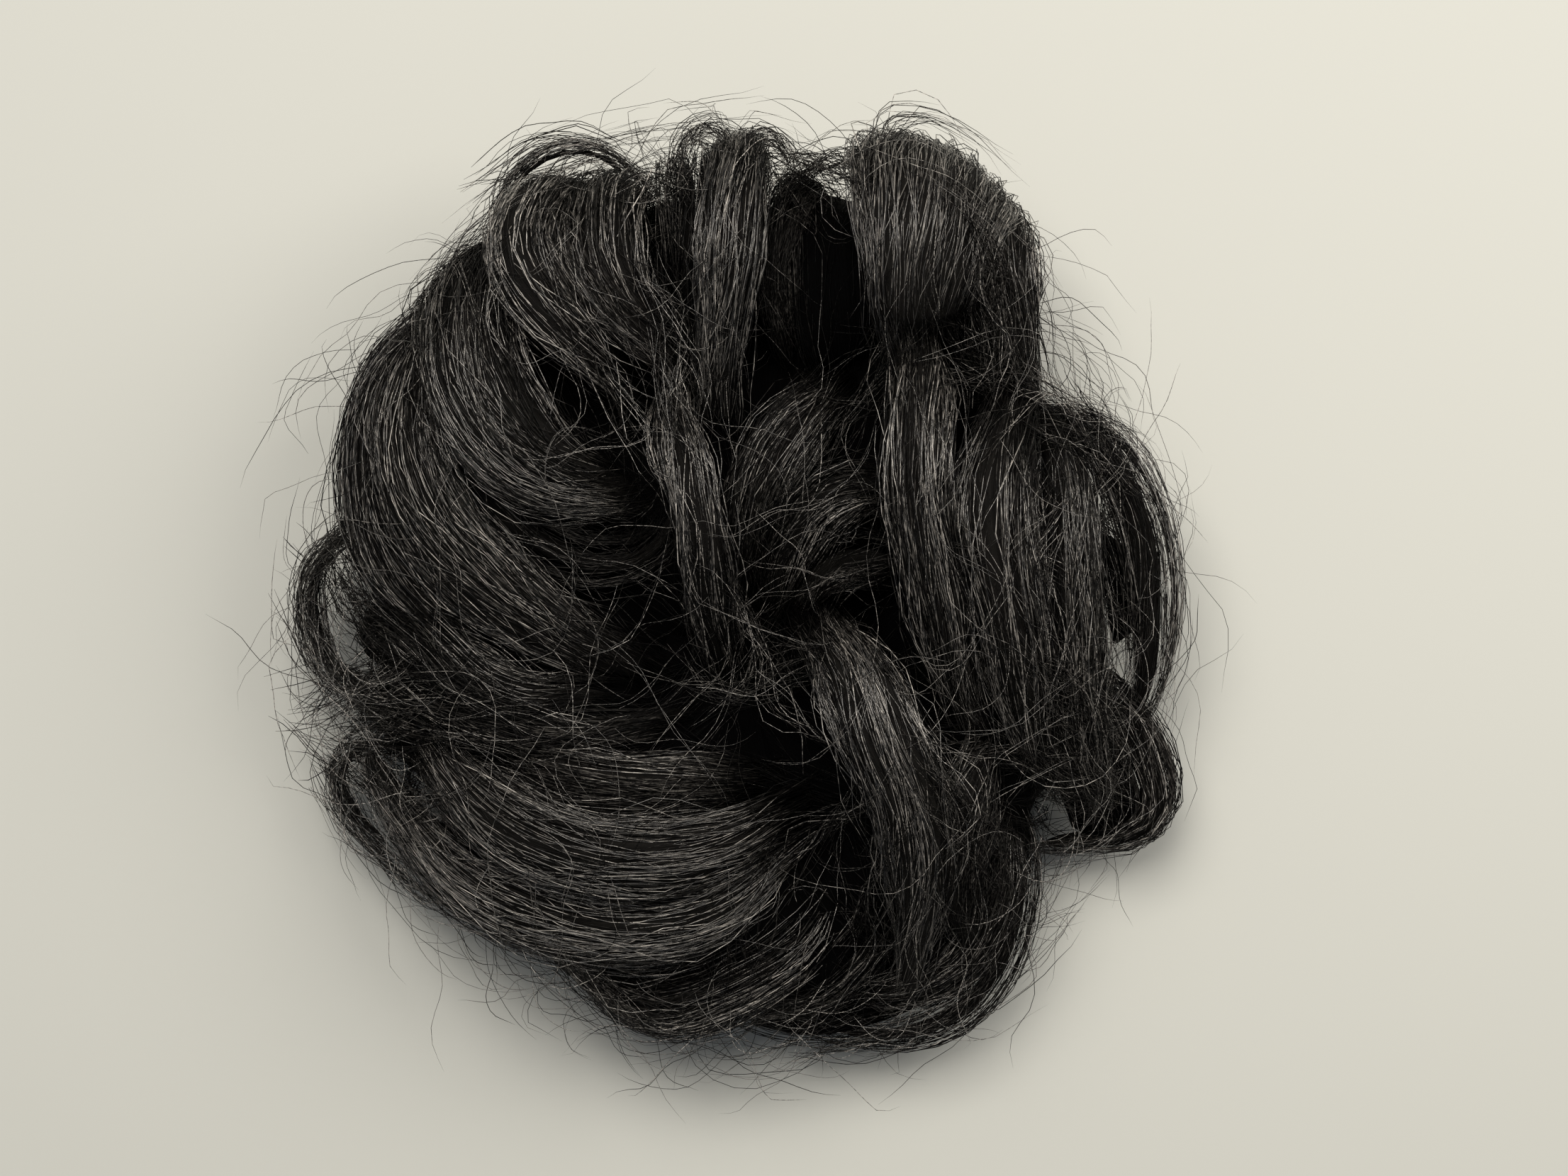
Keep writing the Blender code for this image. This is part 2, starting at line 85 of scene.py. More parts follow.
# Each lock's width, depth, root and tip, the share of its strands that are matt and dimmer, as
# painted shade, which is greatest where it lies deep, and its route
LOCKS = locks_from((
    ("lock_lower_middle", 0.090, 0.150, 0.55, 0.30, 0.34, (
        (18, -5, 60), (25, -14, 74), (31, -28, 79), (38, -41, 75), (41, -55, 67), (40, -70, 57),
        (39, -85, 46))),
    ("lock_long_right", 0.080, 0.150, 0.60, 0.50, 0.50, (
        (38, 62, 58), (40, 46, 74), (40, 31, 83), (40, 17, 82), (45, 0, 76), (49, -16, 66),
        (56, -31, 52))),
    ("lock_top_right_fold", 0.190, 0.170, 0.55, 0.66, 0.36, (
        (43, 72, 16), (43, 87.5, 32), (43, 92.5, 55), (43, 87, 78), (43, 75.5, 88), (41, 64.5, 85),
        (40, 56, 80))),
    ("lock_middle_wave", 0.066, 0.130, 0.50, 0.40, 0.36, (
        (-11.5, 45, 66), (-13, 37, 75), (-10.5, 26.5, 80), (-6.5, 13, 77), (-5.5, 0, 66),
        (-3, -11, 53), (0, -18, 40))),
    ("lock_top_middle", 0.080, 0.150, 0.60, 0.45, 0.32, (
        (1, 89, 28), (1, 95.5, 50), (0.5, 91, 72), (-1, 77.5, 83), (-2, 63, 82), (-3, 49, 75),
        (-3, 37, 62))),
    ("lock_upper_left_front", 0.085, 0.150, 0.55, 0.45, 0.56, (
        (-25, 78, 32), (-26, 86, 52), (-29, 81.5, 72), (-28, 69, 81), (-22, 58.5, 80),
        (-14, 51, 70))),
    ("lock_left_c_curl", 0.115, 0.160, 0.45, 0.40, 0.52, (
        (-54, 76, 44), (-58.5, 67, 62), (-59, 54, 73), (-54, 39, 78), (-43, 28, 78),
        (-31, 23.5, 71), (-22, 23.5, 60))),
    ("lock_upper_left_back", 0.085, 0.150, 0.55, 0.45, 0.50, (
        (-39, 79, 32), (-40, 86.5, 50), (-45, 81.5, 70), (-46.5, 70, 80), (-40, 60, 81),
        (-32, 52, 75), (-24, 45, 62))),
    ("lock_right_fold_side", 0.095, 0.190, 0.60, 0.50, 0.48, (
        (54, 86, 36), (57.5, 78, 58), (58.5, 66, 66), (60.5, 56, 61), (65, 45, 50))),
    ("lock_right_wave", 0.095, 0.160, 0.50, 0.50, 0.50, (
        (62, 43, 62), (57.5, 29.5, 72), (56.5, 16, 75), (60, 1, 73), (64, -14, 66),
        (67.5, -28, 56), (70, -40, 44))),
    ("lock_lower_branch", 0.080, 0.130, 0.55, 0.35, 0.60, (
        (55, -31, 54), (51, -41.5, 62), (49, -53.5, 61), (50, -64, 55), (52.5, -74, 46))),
    ("lock_right_middle", 0.070, 0.150, 0.55, 0.50, 0.46, (
        (69, 38.5, 54), (72.5, 25, 62), (74, 10, 65), (75, -5, 63), (76, -19, 57),
        (78.5, -32.5, 47), (82.5, -44.5, 35))),
    ("lock_centre_curl_upper", 0.058, 0.120, 0.60, 0.45, 0.60, (
        (34, 23.5, 62), (24, 23.5, 68), (15.5, 17.5, 66), (10.5, 7, 58), (9, -2, 48))),
    ("lock_centre_curl_lower", 0.050, 0.110, 0.60, 0.45, 0.66, (
        (37.5, 7, 54), (27.5, 9, 60), (18, 5.5, 58), (13, -4, 48))),
    ("lock_centre_tuft", 0.070, 0.130, 0.50, 0.40, 0.54, (
        (22, 46, 55), (13.5, 37, 64), (7, 25, 65), (3, 12, 59), (1.5, 0, 48))),
    ("lock_top_left_tuft", 0.045, 0.120, 0.60, 0.45, 0.82, (
        (-11, 86, 34), (-11.5, 92, 54), (-10.5, 85, 70), (-10, 73, 74), (-11, 62, 68))),
    ("lock_top_inner_curl", 0.055, 0.120, 0.55, 0.45, 0.88, (
        (17, 89, 38), (12, 87, 52), (9, 76.5, 60), (9, 63, 61), (11, 51, 54))),
    ("lock_left_inner", 0.110, 0.160, 0.45, 0.40, 0.54, (
        (-65, 62, 46), (-72, 46, 58), (-72.5, 31, 63), (-66.5, 16, 65), (-53, 2.5, 64),
        (-36, -8, 58), (-20, -15, 47))),
    ("lock_left_arc", 0.050, 0.110, 0.50, 0.35, 0.70, (
        (-60, 31, 58), (-53, 20.5, 64), (-42, 11.5, 64), (-29.5, 7, 62), (-18.5, 10, 60),
        (-13, 20, 56))),
    ("lock_swirl_middle", 0.105, 0.180, 0.45, 0.45, 0.40, (
        (13, -44.5, 48), (-3, -53, 58), (-23, -55.5, 61), (-44, -52, 56), (-59.5, -41.5, 48),
        (-69, -31, 40), (-74, -24, 30))),
    ("lock_bottom_lobe", 0.095, 0.220, 0.45, 0.45, 0.46, (
        (24, -51, 42), (18, -68, 43), (4, -79, 40), (-13, -86.5, 35), (-27, -85, 30),
        (-35, -76, 25))),
    ("lock_swirl_outer", 0.095, 0.230, 0.45, 0.40, 0.36, (
        (13, -53, 44), (-1, -65.5, 49), (-21.5, -70, 48), (-44, -67, 43), (-63.5, -57.5, 37),
        (-77, -44, 31), (-84.5, -33, 26))),
    ("lock_swirl_inner", 0.085, 0.150, 0.50, 0.45, 0.70, (
        (6, -38.5, 44), (-6, -40, 52), (-21.5, -41, 55), (-37, -39.5, 53), (-50, -34, 46),
        (-59.5, -28, 38))),
    ("lock_left_outer", 0.090, 0.220, 0.45, 0.40, 0.48, (
        (-60, 68.5, 32), (-73, 51.5, 41), (-79, 35.5, 45), (-79, 20, 47), (-73, 5, 49),
        (-60, -7, 48), (-44, -14, 42))),
    ("lock_left_tangle", 0.070, 0.140, 0.45, 0.40, 0.62, (
        (-84, -8, 35), (-77.5, -4, 44), (-69, -8, 49), (-60, -16, 52), (-46, -21.5, 54),
        (-29, -20, 53))),
    ("lock_left_band", 0.064, 0.140, 0.35, 0.40, 0.68, (
        (-87, -21.5, 20), (-74, -22.5, 38), (-56, -26.5, 48), (-37, -28.5, 52), (-21.5, -26, 52),
        (-10, -24, 43))),
    ("lock_left_loop", 0.034, 0.090, 0.60, 0.50, 0.55, (
        (-83, 16, 38), (-92.5, 11.5, 34), (-96.5, 1, 30), (-94, -11, 29), (-88.5, -16.5, 30),
        (-83, -18.5, 34))),
    ("lock_left_low_loop", 0.028, 0.080, 0.60, 0.60, 0.55, (
        (-76, -30, 26), (-84.5, -31, 24), (-90.5, -36, 21), (-88.5, -44.5, 19), (-80, -53, 19))),
    ("lock_upper_left_arch", 0.022, 0.055, 0.80, 0.70, 0.55, (
        (-53, 76.5, 38), (-51, 88, 48), (-41, 95.5, 53), (-30, 95.5, 52), (-21, 88, 44))),
    ("lock_bottom_middle", 0.080, 0.190, 0.50, 0.40, 0.64, (
        (33, -55, 40), (28, -70, 42), (20, -80.5, 36), (11, -86, 28), (3, -87.5, 20))),
    ("lock_right_outer", 0.052, 0.190, 0.45, 0.45, 0.56, (
        (64, 39, 40), (74, 37, 45), (81.5, 32.5, 47), (87, 23, 48), (91, 11, 46), (92.5, -3.5, 43),
        (92.5, -17, 38), (88.5, -28, 31))),
    ("lock_right_corner", 0.052, 0.160, 0.45, 0.45, 0.80, (
        (66, -15, 36), (78, -17.5, 37), (86.5, -24, 35), (92.5, -34, 31), (95.5, -42, 27),
        (92, -49, 23), (82, -51.5, 19), (70, -53, 16))),
    ("lock_bottom_right_inner", 0.080, 0.190, 0.50, 0.45, 0.58, (
        (57, -43, 40), (57.5, -58, 40), (54, -71, 37), (45, -81, 33), (31, -86.5, 28))),
    ("lock_bottom_right_loop", 0.036, 0.140, 0.60, 0.60, 0.70, (
        (61, -35.5, 28), (64, -50.5, 31), (63.5, -66, 31), (58.5, -81, 28), (47.5, -91.5, 24),
        (32.5, -95, 20), (19, -92.5, 16))),
))

# Hair that shows between the locks, part of the under hair, near black and matt as painted shade
DEEP_MATT = 0.97
DEEP_LOCKS = locks_from((
    ("deep_top_right", 0.160, 0.120, 0.70, 0.70, DEEP_MATT, (
        (24, 50, 54), (23, 66, 60), (22, 80, 52), (22, 87.5, 30))),
    ("deep_top_left", 0.110, 0.120, 0.60, 0.40, DEEP_MATT, (
        (-16, 52, 48), (-17, 67, 48), (-16, 81, 42), (-16, 88, 28))),
    ("deep_fold", 0.090, 0.220, 0.60, 0.60, DEEP_MATT, (
        (24, 70, 44), (36, 72, 52), (49, 70, 50), (58, 66, 42))),
    ("deep_top_folds", 0.090, 0.220, 0.60, 0.60, DEEP_MATT, (
        (-50, 60, 46), (-38, 68, 52), (-20, 72, 54), (0, 73, 52), (14, 70, 44))),
    ("deep_right_notch", 0.120, 0.100, 0.60, 0.50, DEEP_MATT, (
        (52, 40, 40), (53, 54, 46), (55, 68, 44), (56, 78, 34))),
    ("deep_right_corner", 0.090, 0.300, 0.60, 0.90, DEEP_MATT, (
        (68, -6, 28), (75, -20, 28), (80, -32, 25), (84, -42, 21), (87, -52, 16))),
    ("deep_right_gap", 0.060, 0.170, 0.70, 0.70, DEEP_MATT, (
        (82, 15, 38), (86, 7, 38), (88, -2, 36), (86, -9, 33))),
    ("deep_branch", 0.085, 0.150, 0.60, 0.60, DEEP_MATT, (
        (53, -34, 46), (50, -44, 53), (48.5, -54, 52), (50, -64, 45), (52, -72, 37))),
    ("deep_bottom", 0.080, 0.260, 0.70, 0.70, DEEP_MATT, (
        (0, -87, 16), (16, -88, 18), (31, -85, 19), (45, -77, 21), (54, -64, 24))),
))

# Painted light and shade on some locks: a factor for the colour at the left edge, the ridge and the
# right edge, and the shares of the length over which the root and the tip fade into painted shade
PaintedShade = namedtuple("PaintedShade", "left ridge right root tip", defaults=(1.0, 1.0, 1.0, 0.0, 0.0))
PAINTED_SHADES = {
    "lock_bottom_lobe": PaintedShade(1.30, 1.15, 0.60, root=0.05),
    "lock_bottom_right_inner": PaintedShade(0.95, 0.95, 0.95, root=0.10),
    "lock_bottom_middle": PaintedShade(0.90, 0.90, 0.90, root=0.10),
    "lock_top_right_fold": PaintedShade(tip=0.15),
    "lock_right_outer": PaintedShade(root=0.28),
    "lock_right_wave": PaintedShade(root=0.30, tip=0.10),
    "lock_right_middle": PaintedShade(root=0.30),
    "lock_long_right": PaintedShade(root=0.06, tip=0.12),
    "lock_left_c_curl": PaintedShade(0.9, 0.86, 1.0, tip=0.14),
    "lock_left_inner": PaintedShade(tip=0.25),
    "lock_left_outer": PaintedShade(tip=0.15),
    "lock_left_tangle": PaintedShade(tip=0.25),
    "lock_left_band": PaintedShade(tip=0.35),
    "lock_left_arc": PaintedShade(0.7, 0.7, 0.7, tip=0.20),
    "lock_swirl_inner": PaintedShade(0.9, 0.9, 0.9, root=0.30),
    "lock_swirl_middle": PaintedShade(root=0.20),
    "lock_lower_middle": PaintedShade(1.0, 0.90, 1.0, root=0.10),
    "lock_middle_wave": PaintedShade(root=0.10, tip=0.14),
}

# How a lock's strands lie: strands in a clump, the clump's spread, the strands' reach as a
# share of the lock's form, the shortest strand's share of the length, how far strays swing
# and how densely they grow
Comb = namedtuple("Comb", "clump spread loft shortest stray density",
                  defaults=(13, 0.34, 1.04, 0.78, 1.0, 1.0))
EVEN_COMB = Comb(clump=8, spread=0.55)
COMBS = {
    "lock_swirl_outer": EVEN_COMB, "lock_swirl_middle": EVEN_COMB, "lock_swirl_inner": EVEN_COMB,
    "lock_bottom_lobe": EVEN_COMB, "lock_left_outer": EVEN_COMB, "lock_left_inner": EVEN_COMB,
    "lock_top_right_fold": EVEN_COMB._replace(loft=0.98, shortest=0.72, density=1.35),
    "lock_lower_middle": Comb(shortest=0.64),
    "lock_middle_wave": Comb(loft=0.74, stray=0.55),
    "lock_top_middle": Comb(loft=0.88, stray=0.7),
    "lock_long_right": EVEN_COMB._replace(loft=0.92, stray=0.7, density=1.15),
    "lock_centre_tuft": Comb(clump=8, density=1.4),
    "lock_bottom_right_inner": Comb(density=1.15),
}

# Thin strands that bridge gaps and tangle at the edge: how many, how far they spread, the
# share that is matt and dimmer, as painted shade, and their route
Tangle = namedtuple("Tangle", "strands spread matt route")
TANGLES = [Tangle(*row[:-1], hundredths(row[-1])) for row in (
    (40, 0.0040, 0.92, ((-17, 88), (-16, 82), (-17, 73), (-16, 64))),
    (30, 0.0030, 0.92, ((10, 90), (14, 86), (18, 78), (16, 66))),
    (40, 0.0040, 0.92, ((21, 86), (22, 80), (23, 72), (23, 60))),
    (60, 0.0034, 0.45, ((-17, 70), (-13, 54), (-12, 38), (-9, 24))),
    (40, 0.0034, 0.50, ((-9, 16), (-6, 4), (-4, -8), (0, -20))),
    (30, 0.0040, 0.60, ((-56, 78), (-64, 64), (-67, 48), (-62, 30))),
    (30, 0.0040, 0.60, ((-50, 72), (-52, 54), (-46, 36), (-34, 24))),
    (30, 0.0040, 0.60, ((-40, 66), (-32, 50), (-24, 36), (-17, 20))),
    (24, 0.0050, 0.72, ((-33, 81), (-22, 66), (-11, 53), (-6, 38))),
    (22, 0.0040, 0.72, ((37, 55), (28, 40), (19, 27), (10, 23))),
    (22, 0.0050, 0.72, ((51, 58), (60, 47), (73, 42), (87, 34))),
    (26, 0.0060, 0.72, ((48, 49), (64, 44), (80, 38), (92, 23))),
    (18, 0.0060, 0.72, ((55, 34), (69, 36), (83, 31), (94, 18))),
    (12, 0.0060, 0.72, ((39, 5), (55, 7), (71, 5), (87, -6))),
    (60, 0.0055, 0.66, ((-93, 7), (-85, -3), (-74, -8), (-58, -12))),
    (60, 0.0060, 0.66, ((-97, -5), (-88, -17), (-72, -23), (-54, -21))),
    (60, 0.0060, 0.66, ((-93, -21), (-79, -14), (-63, -15), (-45, -19))),
    (55, 0.0055, 0.66, ((-88, -30), (-74, -25), (-56, -30), (-33, -32))),
    (30, 0.0030, 0.80, ((-86, 2), (-82, -6), (-76, -14), (-70, -20))),
    (40, 0.0050, 0.72, ((-95, -34), (-83, -40), (-70, -43), (-54, -40))),
    (36, 0.0040, 0.72, ((-86, 16), (-95, 7), (-97, -6), (-90, -19), (-79, -21))),
    (24, 0.0040, 0.72, ((-11, -12), (1, -19), (14, -14), (28, -12))),
    (20, 0.0040, 0.72, ((-2, 5), (5, -12), (10, -21), (19, -30))),
    (30, 0.0050, 0.72, ((48, -30), (60, -32), (71, -40), (85, -40))),
    (60, 0.0030, 0.72, ((-36, -78), (-27, -88), (-14, -93), (0, -90))),
    (24, 0.0034, 0.72, ((-33, -80), (-13, -90), (10, -90), (33, -94))),
    (30, 0.0040, 0.72, ((16, -96), (30, -96), (46, -93), (60, -82))),
    (20, 0.0040, 0.72, ((-54, 88), (-43, 98), (-29, 97), (-20, 86))),
    (24, 0.0050, 0.72, ((30, -12), (39, -25), (51, -40), (55, -60))),
    (24, 0.0050, 0.72, ((23, -43), (14, -51), (1, -62), (-18, -75))),
    (22, 0.0050, 0.72, ((33, -43), (33, -60), (28, -75), (19, -91))),
    (50, 0.0040, 0.72, ((78, 40), (82, 30), (83, 20), (82, 12))),
    (25, 0.0040, 0.72, ((77, 8), (82, 2), (87, -3), (92, -8))),
    (25, 0.0040, 0.72, ((80, -12), (84, -20), (86, -27), (85, -34))),
    (60, 0.0040, 0.72, ((50, 80), (55, 66), (56, 52), (55, 42))),
    (40, 0.0040, 0.72, ((44, 62), (50, 52), (58, 46), (66, 42))),
    (70, 0.0022, 0.60, ((-93, -38), (-87, -50), (-74.5, -61), (-62, -68))),
    (20, 0.0022, 0.76, ((-26, 83), (-19, 88), (-12, 87), (-8, 80))),
    (20, 0.0025, 0.75, ((8, 92), (16, 93), (24, 90), (31, 86))),
    (15, 0.0030, 0.60, ((65, -44), (70, -50), (75, -53), (82, -50))),
    (40, 0.0045, 0.85, ((40, -36), (49, -46), (55, -54), (58, -64))),
    (60, 0.0040, 0.55, ((68, 24), (67, 10), (68, -6), (72, -24))),
    (60, 0.0050, 0.72, ((66, -20), (76, -28), (82, -36), (88, -42))),
    (60, 0.0050, 0.72, ((60, -30), (70, -38), (80, -44), (88, -46))),
    (44, 0.0024, 0.66, ((-13, 82), (-11, 96), (-5, 99), (2, 92))),
    (44, 0.0024, 0.66, ((0, 86), (4, 97), (10, 98), (14, 88))),
    (16, 0.0030, 0.72, ((10, 84), (16, 94), (24, 93), (27, 85))),
    (30, 0.0030, 0.85, ((12, 88), (18, 92), (25, 91), (30, 84))),
    (20, 0.0030, 0.72, ((28, 86), (36, 100), (50, 100), (62, 93))),
    (14, 0.0026, 0.72, ((-40, 84), (-32, 92), (-22, 91), (-14, 86))),
    (90, 0.0040, 0.93, ((70, -16), (79, -24), (85, -33), (87, -42))),
    (70, 0.0040, 0.93, ((66, -30), (72, -36), (80, -40), (88, -42))),
)]

# The under hair's section: out is from the well's wall to the bun's oval, height a share
Ring = namedtuple("Ring", "out height curl")
UNDER_RINGS = (
    Ring(0.00, 0.000, 0.0), Ring(0.56, 0.000, 0.5), Ring(0.72, 0.070, 1.0),
    Ring(0.80, 0.230, 1.0), Ring(0.75, 0.390, 0.8), Ring(0.61, 0.500, 0.4),
    Ring(0.38, 0.535, 0.2), Ring(0.13, 0.480, 0.0), Ring(0.00, 0.370, 0.0),
)
UNDER_CURLS = 14
UNDER_RELIEF = 0.0026
UNDER_STEPS = 112
WELL_RADIUS = 0.0175

# Where the under hair draws in by the right corner, so that the floor shows: the angle round
# the well, the half width in radians and how far
NOTCH_ANGLE = -0.385
NOTCH_WIDTH = 0.14
NOTCH_DEPTH = 0.006

# Steps between two points of a route
FINE_STEPS = 12

# The locks' inner bodies, and how much slimmer, wider and sparser a loose lock is
BODY_SIDES = 20
BODY_STEP = 0.0030
BODY_SHRINK = 0.80
LOOSEST = 0.55
LOOSE_WIDENING = 0.35
FEWER_IF_LOOSE = 0.45
BROAD_LOCK = 0.085
LOOSE_RANGE = 0.055
RIDGE_HEIGHT = 0.16
RIDGE_SCALE = 2.2

# The guides that strands follow: how they run on past a lock's ends, dip and draw in
GUIDE_POINTS = 22
ROOT_OVERRUN = 0.17
TIP_OVERRUN = 0.07
GUIDE_DROOP = 0.95
BURIED_FULLNESS = 0.60
EDGE_REACH = 0.72
EDGE_TURN = 1.3
END_TAPER = 1.8
TUCK = 0.24
FLOOR_CLEARANCE = 0.0015

# Painted shade: how dark a strand's colour is made where little of the sky shows, and at a lock's
# ends
OPEN_REACH = 0.045
OPEN_GAIN = 1.15
SKY_RAYS = 20
RAY_TURN = 2.4
SHUT_SHADE = 0.30
END_SHADE = 0.35
END_FADE = 0.07

# Loose hair is drawn taut over the pile, then softened
TAUT_PASSES = 12
SOFT_PASSES = 3

# Strands of the under hair, and the dark curls that cross its well
UNDER_GUIDES = 36
UNDER_POINTS = 30
DEEP_GUIDES = 3
WELL_CURLS = 9
WELL_CURL_HEIGHT = 0.40

# How single hairs are combed, which keep to no lock
LOOSE_HAIR = {"Loft": 1.0, "Clump Spread": 1.5, "Stray Share": 0.0, "Stray Wave": 0.0,
              "Twist": 1.5, "Wrap": 3.1, "Shortest": 0.6}

# The photograph's width in pixels, the size of a pixel, and the place that the camera looks at
PHOTO_WIDTH = 2212
PIXEL = 0.0001159
CAMERA_TARGET = (0.0080, 0.0019, 0.033)


def bun_shift():
    """How far the solids were moved to stand on the origin."""
    low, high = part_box("elastic_band")
    middle = (Vector(low) + Vector(high)) / 2
    return Vector((middle.x - ROOT_X * BUN_WIDTH / 2, middle.y - ROOT_Y * BUN_LENGTH / 2, 0))


SHIFT = bun_shift()


def place(share_x, share_y, share_z):
    return SHIFT + Vector((share_x * BUN_WIDTH / 2, share_y * BUN_LENGTH / 2,
                           share_z * PILE_HEIGHT))


def rounded_step(share):
    share = min(max(share, 0.0), 1.0)
    return share * share * (3 - 2 * share)


def through_points(points, count, before=0.0, after=0.0):
    """Points at equal steps along the smooth curve through the given ones and past its ends.

    Before and after are how far it runs past them, as shares of its length.
    """
    first = 2 * points[0] - points[1]
    last = 2 * points[-1] - points[-2]
    padded = [first, *points, last]
    fine = []
    for a, b, c, d in zip(padded, padded[1:], padded[2:], padded[3:]):
        for i in range(FINE_STEPS):
            t = i / FINE_STEPS
            fine.append(0.5 * (2 * b + (c - a) * t + (2 * a - 5 * b + 4 * c - d) * t ** 2
                               + (3 * b - a - 3 * c + d) * t ** 3))
    fine.append(points[-1].copy())
    run = [0.0]
    for p, q in zip(fine, fine[1:]):
        run.append(run[-1] + (q - p).length)
    spaced = []
    for i in range(count):
        wanted = run[-1] * ((1 + before + after) * i / (count - 1) - before)
        k = 0
        while k < len(run) - 2 and run[k + 1] < wanted:
            k += 1
        share = (wanted - run[k]) / (run[k + 1] - run[k])
        spaced.append(fine[k] + (fine[k + 1] - fine[k]) * share)
    return spaced


def outward_at(point):
    """Away from the middle of the bun, as on the egg that its overall sizes make."""
    p = point - SHIFT
    return Vector((p.x / (BUN_WIDTH / 2) ** 2, p.y / (BUN_LENGTH / 2) ** 2,
                   max(p.z, 0.002) / PILE_HEIGHT ** 2)).normalized()


def placed(lock):
    """The points of the lock's route, and the length between them."""
    route = [place(*shares) for shares in lock.route]
    return route, length_of(route)


def length_of(line):
    return sum((q - p).length for p, q in zip(line, line[1:]))


def fullness(share, lock):
    from_root = lock.root + (1 - lock.root) * rounded_step(share / ROOT_SWELL)
    from_tip = lock.tip + (1 - lock.tip) * rounded_step((1 - share) / TIP_TAPER)
    return min(from_root, from_tip)


def frames_along(line):
    """The side and lift directions at each point of a line that lies on the bun."""
    frames = []
    for i, point in enumerate(line):
        tangent = (line[min(i + 1, len(line) - 1)] - line[max(i - 1, 0)]).normalized()
        side = tangent.cross(outward_at(point)).normalized()
        frames.append((side, side.cross(tangent)))
    return frames


def tucks_along(line, widths):
    """How far the edges of a broad lock draw in where it bends, so that a fold is rounded."""
    tucks = [Vector()]
    for a, b, c, width in zip(line, line[1:], line[2:], widths[1:]):
        step = (c - a).length / 2
        tucks.append((a + c - 2 * b) / step ** 2 * width ** 2 * TUCK)
    tucks.append(Vector())
    return [tuck if tuck.length < 0.5 * w else tuck.normalized() * 0.5 * w
            for tuck, w in zip(tucks, widths)]


Guide = namedtuple("Guide", "line frames widths depths tucks skies matt")


def openness(point, pile):
    """How much of the sky a place in the pile of locks sees, as a factor for the painted shade in
    its colour.
    """
    free = 0
    for i in range(SKY_RAYS):
        up = 1 - 0.8 * (i + 0.5) / SKY_RAYS
        turn = RAY_TURN * i
        flat = math.sqrt(1 - up * up)
        ray = Vector((flat * math.cos(turn), flat * math.sin(turn), up))
        free += pile.ray_cast(point, ray, OPEN_REACH)[0] is None
    return SHUT_SHADE + (1 - SHUT_SHADE) * rounded_step(free / SKY_RAYS * OPEN_GAIN)


def skies_along(line, frames, widths, depths, pile):
    """The openness, which sets the painted shade, at a lock's left edge, ridge and right edge, at
    each point.
    """
    return [Vector([openness(point + side * (0.9 * across * width)
                             + lift * (depth * (1.2 - 0.5 * abs(across))), pile)
                    for across in (-1, 0, 1)])
            for point, (side, lift), width, depth in zip(line, frames, widths, depths)]


def looseness(lock):
    """From 0 for a broad lock, which keeps together, to 1 for a thin one, which falls apart."""
    return min(max((BROAD_LOCK - lock.width) / LOOSE_RANGE, 0.0), 1.0)


def faded(share, fade):
    """How light a strand is painted at a share of the way from an end that fades into painted
    shade.
    """
    return END_SHADE + (1 - END_SHADE) * rounded_step(share / fade) if fade else 1.0


def lock_guide(lock, pile):
    """The lock's middle line with its half sizes and its painted shade; past both ends it runs on
    and dips.
    """
    route, length = placed(lock)
    line = through_points(route, GUIDE_POINTS, ROOT_OVERRUN, TIP_OVERRUN)
    buried = [BURIED_FULLNESS if math.hypot(*end[:2]) < EDGE_REACH else 0.0
              for end in (lock.route[0], lock.route[-1])]
    fades = [END_FADE if end else 0.0 for end in buried]
    painted_shade = PAINTED_SHADES.get(lock.name, PaintedShade(1.0, 1.0, 1.0, *fades))
    widths, depths, shades = [], [], []
    for i, point in enumerate(line):
        share = (1 + ROOT_OVERRUN + TIP_OVERRUN) * i / (GUIDE_POINTS - 1) - ROOT_OVERRUN
        past = max(-share, share - 1, 0.0) * length
        if buried[share > 0.5]:
            point.z = max(FLOOR_CLEARANCE, point.z - GUIDE_DROOP * past)
        else:
            inward = place(ROOT_X, ROOT_Y, 0) - point
            inward.z = 0
            line[i] = point = point + inward.normalized() * EDGE_TURN * past
            point.z = max(FLOOR_CLEARANCE, point.z)
        past /= length
        size = fullness(share, lock) * (1 - END_TAPER * past)
        widths.append(max(size, buried[share > 0.5]) * lock.width * BUN_WIDTH / 2
                      * (1 + LOOSE_WIDENING * looseness(lock)))
        depths.append(size * lock.depth * PILE_HEIGHT / 2)
        shades.append(Vector(painted_shade[:3]) * faded(share, painted_shade.root) * faded(1 - share, painted_shade.tip))
    frames = frames_along(line)
    # Painted shade at each point: how much sky it sees, times the lock's own factors and its dark
    # ends
    skies = [Vector(a * b for a, b in zip(sky, shade)) for sky, shade in zip(
        skies_along(line, frames, widths, depths, pile), shades)]
    return Guide(line, frames, widths, depths, tucks_along(line, widths), skies, lock.matt)


def linked(name, data):
    """A new object in the scene."""
    made = bpy.data.objects.new(name, data)
    bpy.context.scene.collection.objects.link(made)
    return made


